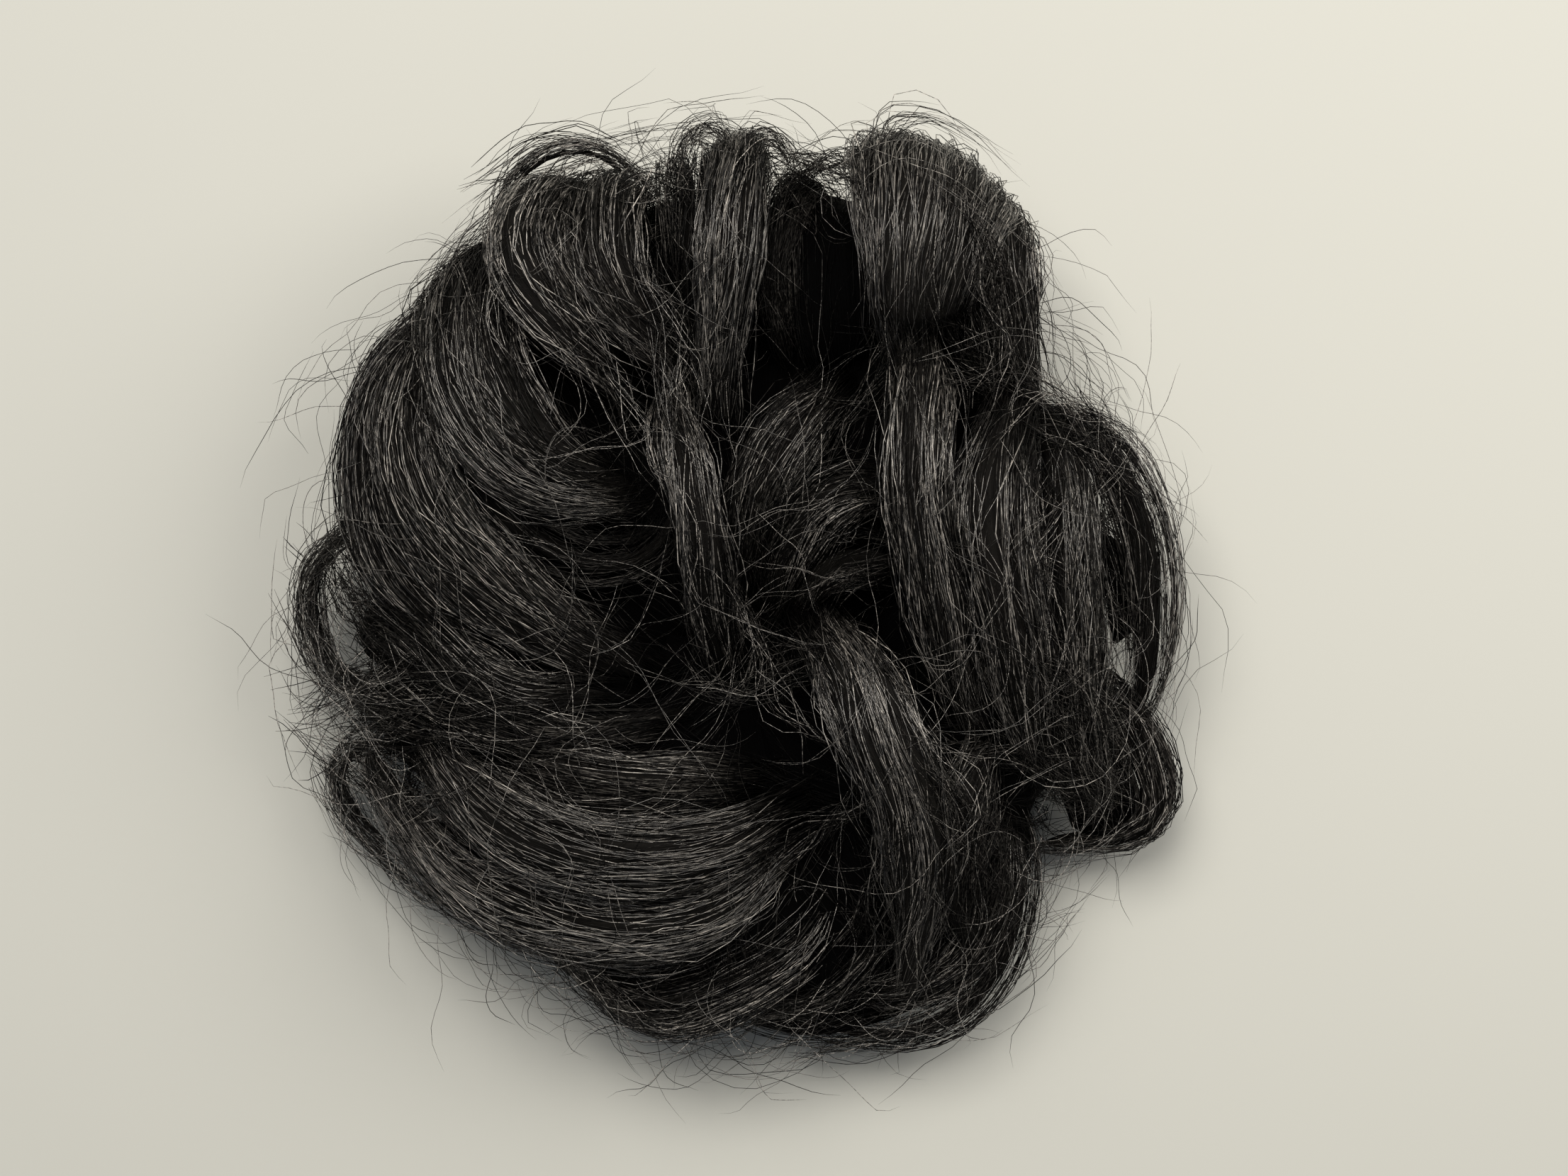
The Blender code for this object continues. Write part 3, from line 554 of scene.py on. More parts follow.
def guide_object(guides):
    """One mesh of bare edges, a line for each guide, with what the strands need at each point."""
    mesh = bpy.data.meshes.new("guides")
    points, edges, sides, lifts, widths, depths, tucks, skies, matts = ([] for _ in range(9))
    for guide in guides:
        start = len(points)
        points += [tuple(p) for p in guide.line]
        edges += [(start + i, start + i + 1) for i in range(len(guide.line) - 1)]
        sides += [tuple(side) for side, _ in guide.frames]
        lifts += [tuple(lift) for _, lift in guide.frames]
        widths += guide.widths
        depths += guide.depths
        tucks += [tuple(tuck) for tuck in guide.tucks]
        skies += [tuple(sky) for sky in guide.skies]
        matts += [guide.matt] * len(guide.line)
    mesh.from_pydata(points, edges, [])
    for name, kind, values in (("side", "FLOAT_VECTOR", sides), ("lift", "FLOAT_VECTOR", lifts),
                               ("half_width", "FLOAT", widths), ("half_depth", "FLOAT", depths),
                               ("tuck", "FLOAT_VECTOR", tucks), ("sky", "FLOAT_VECTOR", skies),
                               ("matt", "FLOAT", matts)):
        layer = mesh.attributes.new(name, kind, "POINT")
        if kind == "FLOAT":
            layer.data.foreach_set("value", values)
        else:
            layer.data.foreach_set("vector", [part for value in values for part in value])
    return linked("guides", mesh)


class TreeMaker:
    """Adds and joins the nodes of one tree; a socket input may be a socket or a plain value."""

    def __init__(self, tree):
        self.tree = tree

    def put(self, socket, value):
        if isinstance(value, bpy.types.NodeSocket):
            self.tree.links.new(value, socket)
        elif value is not None:
            socket.default_value = value

    def add(self, kind, inputs=(), **settings):
        node = self.tree.nodes.new(kind)
        for key, value in settings.items():
            setattr(node, key, value)
        pairs = inputs.items() if isinstance(inputs, dict) else enumerate(inputs)
        for key, value in pairs:
            self.put(node.inputs[key], value)
        return node

    def first(self, kind, inputs=(), **settings):
        """The first output of a new node."""
        return self.add(kind, inputs, **settings).outputs[0]

    def math(self, operation, *values):
        return self.first("ShaderNodeMath", values, operation=operation)

    def times(self, product, *factors):
        for factor in factors:
            product = self.math("MULTIPLY", product, factor)
        return product

    def vector(self, operation, *values):
        return self.first("ShaderNodeVectorMath", values, operation=operation)

    def scaled(self, vector, factor):
        return self.first("ShaderNodeVectorMath", {"Vector": vector, "Scale": factor},
                          operation="SCALE")

    def noise(self, where, detail, **more):
        """The outputs of a noise texture."""
        values = {"Vector": where, "Scale": 1.0, "Detail": detail}
        return self.add("ShaderNodeTexNoise", {**values, **more}).outputs

    def attribute(self, name, kind):
        return self.first("GeometryNodeInputNamedAttribute", {"Name": name}, data_type=kind)

    def store(self, geometry, name, kind, domain, value):
        return self.first("GeometryNodeStoreNamedAttribute",
                          {"Geometry": geometry, "Name": name, "Value": value},
                          data_type=kind, domain=domain)

    def chance(self, low, high, key, seed):
        """A random number between low and high, the same for all points with the same key."""
        node = self.add("FunctionNodeRandomValue", data_type="FLOAT")
        by_name = {socket.identifier: socket for socket in node.inputs}
        for name, value in (("Min_001", low), ("Max_001", high), ("ID", key), ("Seed", seed)):
            self.put(by_name[name], value)
        return node.outputs["Value"] if node.outputs["Value"].enabled else node.outputs[1]


TREE_INPUTS = (
    ("Geometry", "Geometry", None), ("Body", "Object", None), ("Strands", "Int", 100),
    ("Clumps", "Int", 10), ("Points", "Int", 16), ("Strand Radius", "Float", 0.0001),
    ("Loft", "Float", 1.0), ("Clump Spread", "Float", 0.3), ("Clump Wave", "Float", 0.001),
    ("Strand Wave", "Float", 0.0005), ("Lift Wave", "Float", 0.5),
    ("Wave Length", "Float", 0.02), ("Stray Share", "Float", 0.08),
    ("Stray Wave", "Float", 0.003), ("Twist", "Float", 0.5), ("Wrap", "Float", 1.9),
    ("Shortest", "Float", 0.7), ("Seed", "Int", 1), ("Strand Material", "Material", None),
    ("Glossy Material", "Material", None), ("Body Material", "Material", None),
)

# How far apart the guides' clumps are numbered, how a strand's start falls, how far waves
# swing, how much clumps and strands differ, and how a strand's ends thin out: slope and start
CLUMPS_APART = 64.0
START_SCALE = 1.4
WAVE_SWING = 3.2
CLUMP_TWIST = (0.4, 1.6)
CLUMP_LOFT = (0.80, 1.06)
STRAND_LOFT = (0.82, 1.06)
STRAND_SIZE = (0.7, 1.25)
CLUMP_SHADE = 0.40
STRAND_SHADE = 0.60
ROOT_THINNING = (9.0, 0.35)
TIP_THINNING = (4.0, 0.12)
FLOOR_RADII = 1.5


class CombTree(TreeMaker):
    """Strands laid along each guide in clumps, with waves, strays and thin ends."""

    def __init__(self):
        super().__init__(bpy.data.node_groups.new("Combed strands", "GeometryNodeTree"))
        new_socket = self.tree.interface.new_socket
        for name, kind, default in TREE_INPUTS:
            socket = new_socket(name, in_out="INPUT", socket_type="NodeSocket" + kind)
            if default is not None:
                socket.default_value = default
        new_socket("Geometry", in_out="OUTPUT", socket_type="NodeSocketGeometry")
        self.given = self.add("NodeGroupInput").outputs
        self.strand = self.attribute("strand_id", "INT")
        self.clump = self.clump_number()
        spline = self.add("GeometryNodeSplineParameter").outputs
        self.along, self.length = spline["Factor"], spline["Length"]
        self.side = self.attribute("side", "FLOAT_VECTOR")
        self.lift = self.attribute("lift", "FLOAT_VECTOR")
        turn = self.turn_in_section()
        sine = self.math("SINE", turn)
        offset = self.offset(sine, self.math("COSINE", turn))
        strands = self.first("GeometryNodeSetPosition",
                             {"Geometry": self.strands(), "Offset": offset})
        strands = self.with_looks(self.above_floor(strands), sine)
        self.hand_out(self.tubes(strands))

    def row(self, low, high, key, number):
        """A random number for each key; each row of them has a seed of its own."""
        return self.chance(low, high, key, self.math("ADD", self.given["Seed"], number))

    def strands(self):
        """Copies of each guide, which start and end at their own shares of it."""
        given = self.given
        lines = self.first("GeometryNodeMeshToCurve", [given["Geometry"]])
        index = self.first("GeometryNodeInputIndex")
        lines = self.store(lines, "guide_id", "INT", "CURVE", index)
        copies = self.first("GeometryNodeDuplicateElements",
                            {"Geometry": lines, "Amount": given["Strands"]}, domain="SPLINE")
        copies = self.store(copies, "strand_id", "INT", "CURVE", index)
        most = self.math("SUBTRACT", 1.0, given["Shortest"])
        start = self.row(0.0, most, self.strand, 0)
        end = self.math("SUBTRACT", 1.0, self.row(0.0, most, self.strand, 1))
        start = self.times(start, start, START_SCALE)
        trimmed = self.first("GeometryNodeTrimCurve",
                             {"Curve": copies, "Start": start, "End": end}, mode="FACTOR")
        return self.first("GeometryNodeResampleCurve",
                          {"Curve": trimmed, "Count": given["Points"]})

    def clump_number(self):
        pick = self.times(self.row(0.0, 1.0, self.strand, 2), self.given["Clumps"])
        guide = self.attribute("guide_id", "INT")
        return self.math("ADD", self.math("FLOOR", pick), self.times(guide, CLUMPS_APART))

    def turn_in_section(self):
        """How far round the lock's section a strand lies, at each share of its length."""
        wrap, spread = self.given["Wrap"], self.given["Clump Spread"]
        clump_turn = self.row(self.times(wrap, -1.0), wrap, self.clump, 3)
        own_turn = self.row(self.times(spread, -1.0), spread, self.strand, 4)
        twist = self.times(self.given["Twist"], self.row(*CLUMP_TWIST, self.clump, 5),
                           self.math("SUBTRACT", self.along, 0.5))
        return self.math("ADD", self.math("ADD", clump_turn, own_turn), twist)

    def offset(self, sine, cosine):
        """From the guide to the lock's surface, with the waves of the clump and the strand."""
        given = self.given
        loft = self.times(self.row(*CLUMP_LOFT, self.clump, 6),
                          self.row(*STRAND_LOFT, self.strand, 7), given["Loft"])
        across = self.times(sine, loft, self.attribute("half_width", "FLOAT"))
        upward = self.times(cosine, loft, self.attribute("half_depth", "FLOAT"))
        tuck = self.scaled(self.attribute("tuck", "FLOAT_VECTOR"), self.math("POWER", sine, 2.0))
        is_stray = self.math("LESS_THAN", self.row(0.0, 1.0, self.strand, 13),
                             given["Stray Share"])
        offset = self.vector("ADD", self.scaled(self.side, across),
                             self.scaled(self.lift, upward))
        for more in (tuck, self.wave(self.clump, 8, 0.0, given["Clump Wave"]),
                     self.wave(self.strand, 11, 1.0, given["Strand Wave"]),
                     self.wave(self.strand, 14, 0.0, self.times(given["Stray Wave"], is_stray))):
            offset = self.vector("ADD", offset, more)
        return offset

    def wave(self, key, number, detail, size):
        """How far each key's strands swing to the side and up, at each place along them."""
        where = self.first("ShaderNodeCombineXYZ", [
            self.math("DIVIDE", self.length, self.given["Wave Length"]),
            self.row(0.0, 90.0, key, number), float(number)])
        middle = self.vector("SUBTRACT", self.noise(where, detail)["Color"], (0.5, 0.5, 0.5))
        swing = self.add("ShaderNodeSeparateXYZ", [middle]).outputs
        lifted = self.scaled(self.lift, self.times(swing[1], self.given["Lift Wave"]))
        swept = self.vector("ADD", self.scaled(self.side, swing[0]), lifted)
        return self.scaled(swept, self.times(size, WAVE_SWING))

    def above_floor(self, strands):
        """Nothing sinks below the surface that the bun lies on."""
        place_now = self.first("GeometryNodeInputPosition")
        x, y, z = self.add("ShaderNodeSeparateXYZ", [place_now]).outputs
        lowest = self.times(self.given["Strand Radius"], FLOOR_RADII)
        kept = self.first("ShaderNodeCombineXYZ", [x, y, self.math("MAXIMUM", z, lowest)])
        return self.first("GeometryNodeSetPosition", {"Geometry": strands, "Position": kept})

    def with_looks(self, strands, sine):
        """Stores what the materials read: a strand's random shade, the way along it, and its
        painted shade from the sky that it sees.
        """
        shade = self.math("MULTIPLY_ADD", self.row(0.0, 1.0, self.clump, 18), CLUMP_SHADE,
                          self.times(self.row(0.0, 1.0, self.strand, 16), STRAND_SHADE))
        sky = self.add("ShaderNodeSeparateXYZ", [self.attribute("sky", "FLOAT_VECTOR")]).outputs
        right = self.math("MAXIMUM", sine, 0.0)
        left = self.math("MAXIMUM", self.times(sine, -1.0), 0.0)
        ridge = self.math("SUBTRACT", self.math("SUBTRACT", 1.0, left), right)
        sides = self.math("ADD", self.times(sky[0], left), self.times(sky[2], right))
        light = self.math("MULTIPLY_ADD", sky[1], ridge, sides)
        for name, value in (("shade", shade), ("along", self.along), ("open", light)):
            strands = self.store(strands, name, "FLOAT", "POINT", value)
        return strands

    def tubes(self, strands):
        """Each strand as a thin tube with three sides; the brightest strands take the glossy, lit
        copy of the material and the rest the matt, shaded copy, as painted light and shade.
        """
        given = self.given
        root, tip = (self.math("MINIMUM", 1.0, self.math("MULTIPLY_ADD", share, *thinning))
                     for share, thinning in (
                         (self.along, ROOT_THINNING),
                         (self.math("SUBTRACT", 1.0, self.along), TIP_THINNING)))
        radius = self.times(given["Strand Radius"], self.row(*STRAND_SIZE, self.strand, 17))
        section = self.first("GeometryNodeCurvePrimitiveCircle", {"Resolution": 3, "Radius": 1.0})
        hair = self.first("GeometryNodeCurveToMesh", {"Curve": strands, "Profile Curve": section,
                                                      "Scale": self.times(root, tip, radius)})
        hair = self.first("GeometryNodeSetShadeSmooth", {"Geometry": hair})
        hair = self.painted(hair, "Strand Material")
        # The random shade times the painted shade; above the lock's matt share a strand is lit and
        # glossy
        lit = self.times(self.attribute("shade", "FLOAT"), self.attribute("open", "FLOAT"))
        glossy = self.math("GREATER_THAN", lit, self.attribute("matt", "FLOAT"))
        return self.painted(hair, "Glossy Material", glossy)

    def painted(self, geometry, material, where=None):
        return self.first("GeometryNodeSetMaterial", {
            "Geometry": geometry, "Selection": where, "Material": self.given[material]})

    def hand_out(self, hair):
        """The tree's result: the hair with the body in it, as one plain mesh."""
        body = self.add("GeometryNodeObjectInfo", {"Object": self.given["Body"]})
        body = self.painted(body.outputs["Geometry"], "Body Material")
        joined = self.add("GeometryNodeJoinGeometry")
        for part in (hair, body):
            self.tree.links.new(part, joined.inputs[0])
        self.add("NodeGroupOutput", [
            self.first("GeometryNodeRealizeInstances", [joined.outputs[0]])])


def comb(name, guides, body, values):
    """Runs the tree over the guides and returns its plain mesh, with the body in it."""
    shared = kit()
    values = {"Body": body, "Strand Material": shared["strand"],
              "Glossy Material": shared["glossy"], "Body Material": shared["body"], **values}
    holder = guide_object(guides)
    modifier = holder.modifiers.new("comb", "NODES")
    modifier.node_group = shared["comb"]
    for item in shared["comb"].interface.items_tree:
        if item.in_out == "INPUT" and item.name in values:
            modifier[item.identifier] = values[item.name]
    holder.update_tag()
    bpy.context.view_layer.update()
    graph = bpy.context.evaluated_depsgraph_get()
    mesh = bpy.data.meshes.new_from_object(holder.evaluated_get(graph))
    mesh.name = name
    for extra in ("side", "lift", "half_width", "half_depth", "tuck", "sky", "matt", "guide_id",
                  "strand_id"):
        if extra in mesh.attributes:
            mesh.attributes.remove(mesh.attributes[extra])
    holder.modifiers.clear()
    bpy.data.objects.remove(holder)
    if body:
        bpy.data.objects.remove(body)
    return linked(name, mesh)


def object_from(name, bm):
    mesh = bpy.data.meshes.new(name)
    bm.to_mesh(mesh)
    bm.free()
    return linked(name, mesh)


def body_object(name, rings, closed):
    """A skin over rings of points, with a UV map that runs round and along it."""
    bm = bmesh.new()
    uv = bm.loops.layers.uv.new("strand_flow")
    loops = [[bm.verts.new(p) for p in ring] for ring in rings]
    rows = len(loops)
    last = rows if closed else rows - 1
    for i in range(last):
        ring, following = loops[i], loops[(i + 1) % rows]
        sides = len(ring)
        for j in range(sides):
            k = (j + 1) % sides
            face = bm.faces.new((ring[j], ring[k], following[k], following[j]))
            face.smooth = True
            for corner, (u, v) in zip(face.loops, ((j, i), (j + 1, i), (j + 1, i + 1), (j, i + 1))):
                corner[uv].uv = (u / sides, v / last)
    if not closed:
        bm.faces.new(list(reversed(loops[0])))
        bm.faces.new(loops[-1])
    bmesh.ops.recalc_face_normals(bm, faces=bm.faces)
    return object_from(name, bm)


def lock_rings(lock, scale, ridged):
    """Rings of points round the lock's sweep, scale being their share of the solid's size."""
    route, length = placed(lock)
    steps = max(8, round(length / BODY_STEP))
    line = through_points(route, steps)
    seed = sum(route, Vector()).length * 900
    half_widths = [fullness(i / (steps - 1), lock) * lock.width * BUN_WIDTH / 2
                   for i in range(steps)]
    tucks = tucks_along(line, half_widths)
    rings = []
    for i, (point, (side, lift)) in enumerate(zip(line, frames_along(line))):
        share = i / (steps - 1)
        round_end = math.sqrt(max(0.02, 1 - max(0.0, abs(2 * share - 1) - 0.9) ** 2 / 0.01))
        size = fullness(share, lock) * scale * round_end
        ring = []
        for k in range(BODY_SIDES):
            angle = 2 * math.pi * k / BODY_SIDES
            ridge = noise.noise(Vector((math.cos(angle) * RIDGE_SCALE,
                                        math.sin(angle) * RIDGE_SCALE, share * 2.0 + seed)))
            out = size * (1 + RIDGE_HEIGHT * ridge * ridged)
            ring.append(point + side * out * lock.width * BUN_WIDTH / 2 * math.cos(angle)
                        + lift * out * lock.depth * PILE_HEIGHT / 2 * math.sin(angle)
                        + tucks[i] * math.cos(angle) ** 2)
        rings.append(ring)
    return rings


def lock_body(lock):
    """The lock's inner form: its solid's sweep, slimmer and with soft ridges along it."""
    scale = BODY_SHRINK - LOOSEST * looseness(lock)
    return body_object(lock.name + "_body", lock_rings(lock, scale, 1.0), closed=False)


def joined_bodies(name, bodies):
    bm = bmesh.new()
    for body in bodies:
        bm.from_mesh(body.data)
        bpy.data.objects.remove(body)
    return object_from(name, bm)


def pile_tree():
    """A search tree of the locks' forms, for laying loose hair on them."""
    points, faces = [], []
    for lock in LOCKS:
        rings = lock_rings(lock, 1.0, 0.0)
        for i in range(len(rings) - 1):
            first = len(points) + i * BODY_SIDES
            for j in range(BODY_SIDES):
                k = (j + 1) % BODY_SIDES
                faces.append((first + j, first + k, first + k + BODY_SIDES,
                              first + j + BODY_SIDES))
        for ring in rings:
            points += ring
    return BVHTree.FromPolygons(points, faces)


def laid_over(flat, pile, clear):
    """The points of a flat route raised to lie on the pile, taut over its gaps."""
    heights = []
    for point in flat:
        hit = pile.ray_cast(Vector((point.x, point.y, 1.0)), Vector((0, 0, -1)))[0]
        heights.append(hit.z if hit else None)
    known = [height for height in heights if height is not None]
    lowest = min(known) if known else 0.3 * PILE_HEIGHT
    heights = [lowest * 0.9 if height is None else height for height in heights]
    for _ in range(TAUT_PASSES):
        inner = [max(h, (g + i) / 2) for g, h, i in zip(heights, heights[1:], heights[2:])]
        heights = [heights[0], *inner, heights[-1]]
    for _ in range(SOFT_PASSES):
        inner = [(g + h + i) / 3 for g, h, i in zip(heights, heights[1:], heights[2:])]
        heights = [heights[0], *inner, heights[-1]]
    return [Vector((point.x, point.y, height + clear)) for point, height in zip(flat, heights)]


def wander(start, heading, step, count, turn, sway, reach):
    """A flat wavy route that turns a little at each step and keeps within reach of the middle.

    The reach is a share of the bun's half sizes; a hair that comes to it slides along it.
    """
    route = [start.copy()]
    phase = random.uniform(0, 2 * math.pi)
    for i in range(count - 1):
        angle = heading + turn * i + sway * math.sin(phase + 0.9 * i)
        offset = route[-1] + Vector((math.cos(angle), math.sin(angle), 0)) * step - SHIFT
        out = math.hypot(offset.x / (BUN_WIDTH / 2), offset.y / (BUN_LENGTH / 2))
        route.append(SHIFT + offset * min(1, reach / out) if out > 0 else SHIFT + offset)
    return route


def under_point(angle, out, height, curl, sink=0.0):
    """A point of the under hair's skin, sink in from the solid's own."""
    middle = place(ROOT_X, ROOT_Y, 0)
    offset = middle - SHIFT
    half_x, half_y = BUN_WIDTH / 2, BUN_LENGTH / 2
    along = Vector((math.cos(angle), math.sin(angle), 0))
    a = (along.x / half_x) ** 2 + (along.y / half_y) ** 2
    b = along.x * offset.x / half_x ** 2 + along.y * offset.y / half_y ** 2
    c = (offset.x / half_x) ** 2 + (offset.y / half_y) ** 2 - 1
    outline = (math.sqrt(b * b - a * c) - b) / a
    relief = curl * UNDER_RELIEF * math.cos(UNDER_CURLS * angle)
    apart = math.remainder(angle - NOTCH_ANGLE, 2 * math.pi) / NOTCH_WIDTH
    notch = NOTCH_DEPTH * math.exp(-apart * apart) * out
    radius = WELL_RADIUS + out * (outline - WELL_RADIUS) + relief - notch
    radius -= sink * min(1, out * 4)
    return middle + along * radius + Vector((0, 0, max(height * PILE_HEIGHT, sink)))


def make_streaks():
    """A shared effect: fine strands painted along the UV map, as a colour mask and a height."""
    group = bpy.data.node_groups.new("Hair streaks", "ShaderNodeTree")
    for name, default in (("Fineness", 160.0), ("Length", 2.5)):
        socket = group.interface.new_socket(name, in_out="INPUT", socket_type="NodeSocketFloat")
        socket.default_value = default
    for name in ("Mask", "Height"):
        group.interface.new_socket(name, in_out="OUTPUT", socket_type="NodeSocketFloat")
    t = TreeMaker(group)
    given = t.add("NodeGroupInput").outputs
    round_it, along_it, _ = t.add("ShaderNodeSeparateXYZ", [
        t.first("ShaderNodeUVMap", uv_map="strand_flow")]).outputs
    where = t.first("ShaderNodeCombineXYZ", [t.times(round_it, given["Fineness"]),
                                             t.times(along_it, given["Length"])])
    fine = t.noise(where, 4.0, Roughness=0.7)["Fac"]
    broad = t.noise(where, 2.0, Scale=0.22)["Fac"]
    mask = t.times(fine, t.math("MULTIPLY_ADD", broad, 1.2, 0.2))
    t.add("NodeGroupOutput", [mask, t.math("ADD", fine, t.times(broad, 1.5))])
    return group


# The crimps along a strand, how far apart the strands' crimps lie, and how the painted glints in
# the colour follow them
CRIMPS_ALONG = 48.0
CRIMPS_APART = 400.0
CRIMP_FROM = 0.42
CRIMP_TO = 0.64
CRIMP_POLISH = 0.16
GLINT_POWER = 2.3
GLINT_GAIN = (1.45, 0.05)


def new_material(name):
    """A new material, a maker for its nodes, and the inputs of its shader."""
    material = bpy.data.materials.new(name)
    material.use_nodes = True
    tree = material.node_tree
    return material, TreeMaker(tree), tree.nodes["Principled BSDF"].inputs


def dress(t, shader, mask, dark, light, roughness, relief):
    """Sets a shader's colour, between dark and light by the mask, its roughness and its relief.

    The relief is how strong it is, how deep in metres, and the height that makes it.
    """
    colour = t.add("ShaderNodeMix", {0: mask, 6: dark, 7: light}, data_type="RGBA")
    t.put(shader["Base Color"], colour.outputs[2])
    t.put(shader["Roughness"], roughness)
    strength, depth, height = relief
    t.put(shader["Normal"], t.first("ShaderNodeBump", {"Strength": strength, "Distance": depth,
                                                       "Height": height}))


def strand_material(name, dark, light, roughness, specular):
    """Single hairs, each with its own random shade, with painted glints and painted shade in their
    colour.
    """
    material, t, shader = new_material(name)
    shade, along, sky = (t.add("ShaderNodeAttribute", attribute_name=stored).outputs["Fac"]
                         for stored in ("shade", "along", "open"))
    where = t.first("ShaderNodeCombineXYZ", [t.times(along, CRIMPS_ALONG),
                                             t.times(shade, CRIMPS_APART)])
    crimp_and_glint = t.first("ShaderNodeMapRange", {"Value": t.noise(where, 2.0)["Fac"],
                                           "From Min": CRIMP_FROM, "From Max": CRIMP_TO})
    # Painted glint: the random shade times the painted shade, broken up by the crimps, lightens the
    # colour
    glint = t.times(t.math("POWER", t.times(shade, sky), GLINT_POWER),
                    t.math("MULTIPLY_ADD", crimp_and_glint, *GLINT_GAIN))
    dress(t, shader, glint, dark, light,
          t.math("MULTIPLY_ADD", crimp_and_glint, -CRIMP_POLISH, roughness + CRIMP_POLISH),
          (0.5, 0.0002, crimp_and_glint))
    shader["Specular IOR Level"].default_value = specular
    shader["Specular Tint"].default_value = (1.0, 0.965, 0.92, 1.0)
    return material


def body_material(name, dark, light, roughness, specular, streaks):
    """Hair that fills a lock, with its strands painted on, near black as painted shade under the
    strands over it.
    """
    material, t, shader = new_material(name)
    painted = t.add("ShaderNodeGroup", node_tree=streaks).outputs
    dress(t, shader, painted["Mask"], dark, light,
          t.math("MULTIPLY_ADD", painted["Mask"], 0.3, roughness),
          (0.9, 0.0006, painted["Height"]))
    shader["Specular IOR Level"].default_value = specular
    return material


class HairSettings(bpy.types.PropertyGroup):
    """The strands' sizes, numbers and colours"""
    strand_radius: bpy.props.FloatProperty(
        name="Strand Radius", description="Half the thickness of one strand", default=0.00008,
        unit="LENGTH", precision=6)
    strands_per_metre: bpy.props.IntProperty(
        name="Strands per Metre", description="Strands for each metre of a lock's width",
        default=17500)
    clump_wave: bpy.props.FloatProperty(
        name="Clump Wave", description="How far a clump of strands swings", default=0.0014,
        unit="LENGTH", precision=5)
    strand_wave: bpy.props.FloatProperty(
        name="Strand Wave", description="How far one strand swings in its clump",
        default=0.0011, unit="LENGTH", precision=5)
    stray_wave: bpy.props.FloatProperty(
        name="Stray Wave", description="How far a stray strand leaves its lock",
        default=0.0045, unit="LENGTH", precision=5)
    # The hair's own near black, set darker still as painted shade in the voids between the locks
    dark_colour: bpy.props.FloatVectorProperty(
        name="Dark Strands", description="Colour of the darkest strands", size=4,
        subtype="COLOR", default=(0.0006, 0.0005, 0.0005, 1.0))
    # The colour of the painted glints, which the brightest strands reach
    glint_colour: bpy.props.FloatVectorProperty(
        name="Painted Glints", description="Colour of the lightest strands", size=4,
        subtype="COLOR", default=(0.42, 0.38, 0.33, 1.0))
    roughness: bpy.props.FloatProperty(
        name="Roughness", description="Roughness of the strands", default=0.20, min=0.0, max=1.0)
    point_step: bpy.props.FloatProperty(
        name="Point Step", description="Distance between two points of a strand",
        default=0.0058, unit="LENGTH", precision=5)
    strands_per_wisp: bpy.props.IntProperty(
        name="Strands per Wisp", description="Strands in one loose wisp", default=5)
    surface_hairs: bpy.props.IntProperty(
        name="Surface Hairs", description="Pairs of single hairs that lie over the locks",
        default=500)
    flyaways: bpy.props.IntProperty(
        name="Flyaways", description="Single fine hairs that stand out all round", default=820)
    reach: bpy.props.FloatProperty(
        name="Reach", description="How far out a flyaway may stand, as a share of the bun's oval",
        default=1.19)


class StageSettings(bpy.types.PropertyGroup):
    """The floor, the light and the camera"""
    floor_colour: bpy.props.FloatVectorProperty(
        name="Floor Colour", description="Colour of the plain floor", size=4, subtype="COLOR",
        default=(0.462, 0.452, 0.400, 1.0))
    key_power: bpy.props.FloatProperty(
        name="Key Light", description="Power of the soft light from the upper left",
        default=13.2, unit="POWER")
    fill_power: bpy.props.FloatProperty(
        name="Fill Light", description="Power of the soft light from the upper right",
        default=4.4, unit="POWER")
    sky_strength: bpy.props.FloatProperty(
        name="Surrounding Light", description="Strength of the even light from all round",
        default=0.19)
    lens: bpy.props.FloatProperty(
        name="Lens", description="Focal length of the camera", default=85.0)
    elevation: bpy.props.FloatProperty(
        name="Elevation", description="How high the camera looks down from",
        default=math.radians(88), subtype="ANGLE")


KIT = {}


def kit():
    """The trees and materials that the pieces share, made when first asked for."""
    if not KIT:
        hair = bpy.context.scene.bun_hair
        dark, light = tuple(hair.dark_colour), tuple(hair.glint_colour)
        # The matt strands and the deep hair take dimmer shares of the glint colour, as painted
        # shade
        shaded_matt_light, shaded_deep_light = (tuple(c * share for c in light[:3]) + (1.0,)
                                  for share in (0.43, 0.05))
        rough = hair.roughness
        streaks = make_streaks()
        KIT.update(
            pile=pile_tree(), comb=CombTree().tree,
            strand=strand_material("matt_strands", dark, shaded_matt_light, rough + 0.12, 0.10),
            glossy=strand_material("glossy_strands", dark, light, rough, 1.0),
            body=body_material("hair_body", dark, shaded_deep_light, rough + 0.2, 0.03, streaks),
            under_strand=strand_material("under_hair_strands", dark, shaded_deep_light, rough + 0.2, 0.06),
            under_body=body_material("under_hair_body", dark, dark, 0.6, 0.03, streaks))
    return KIT


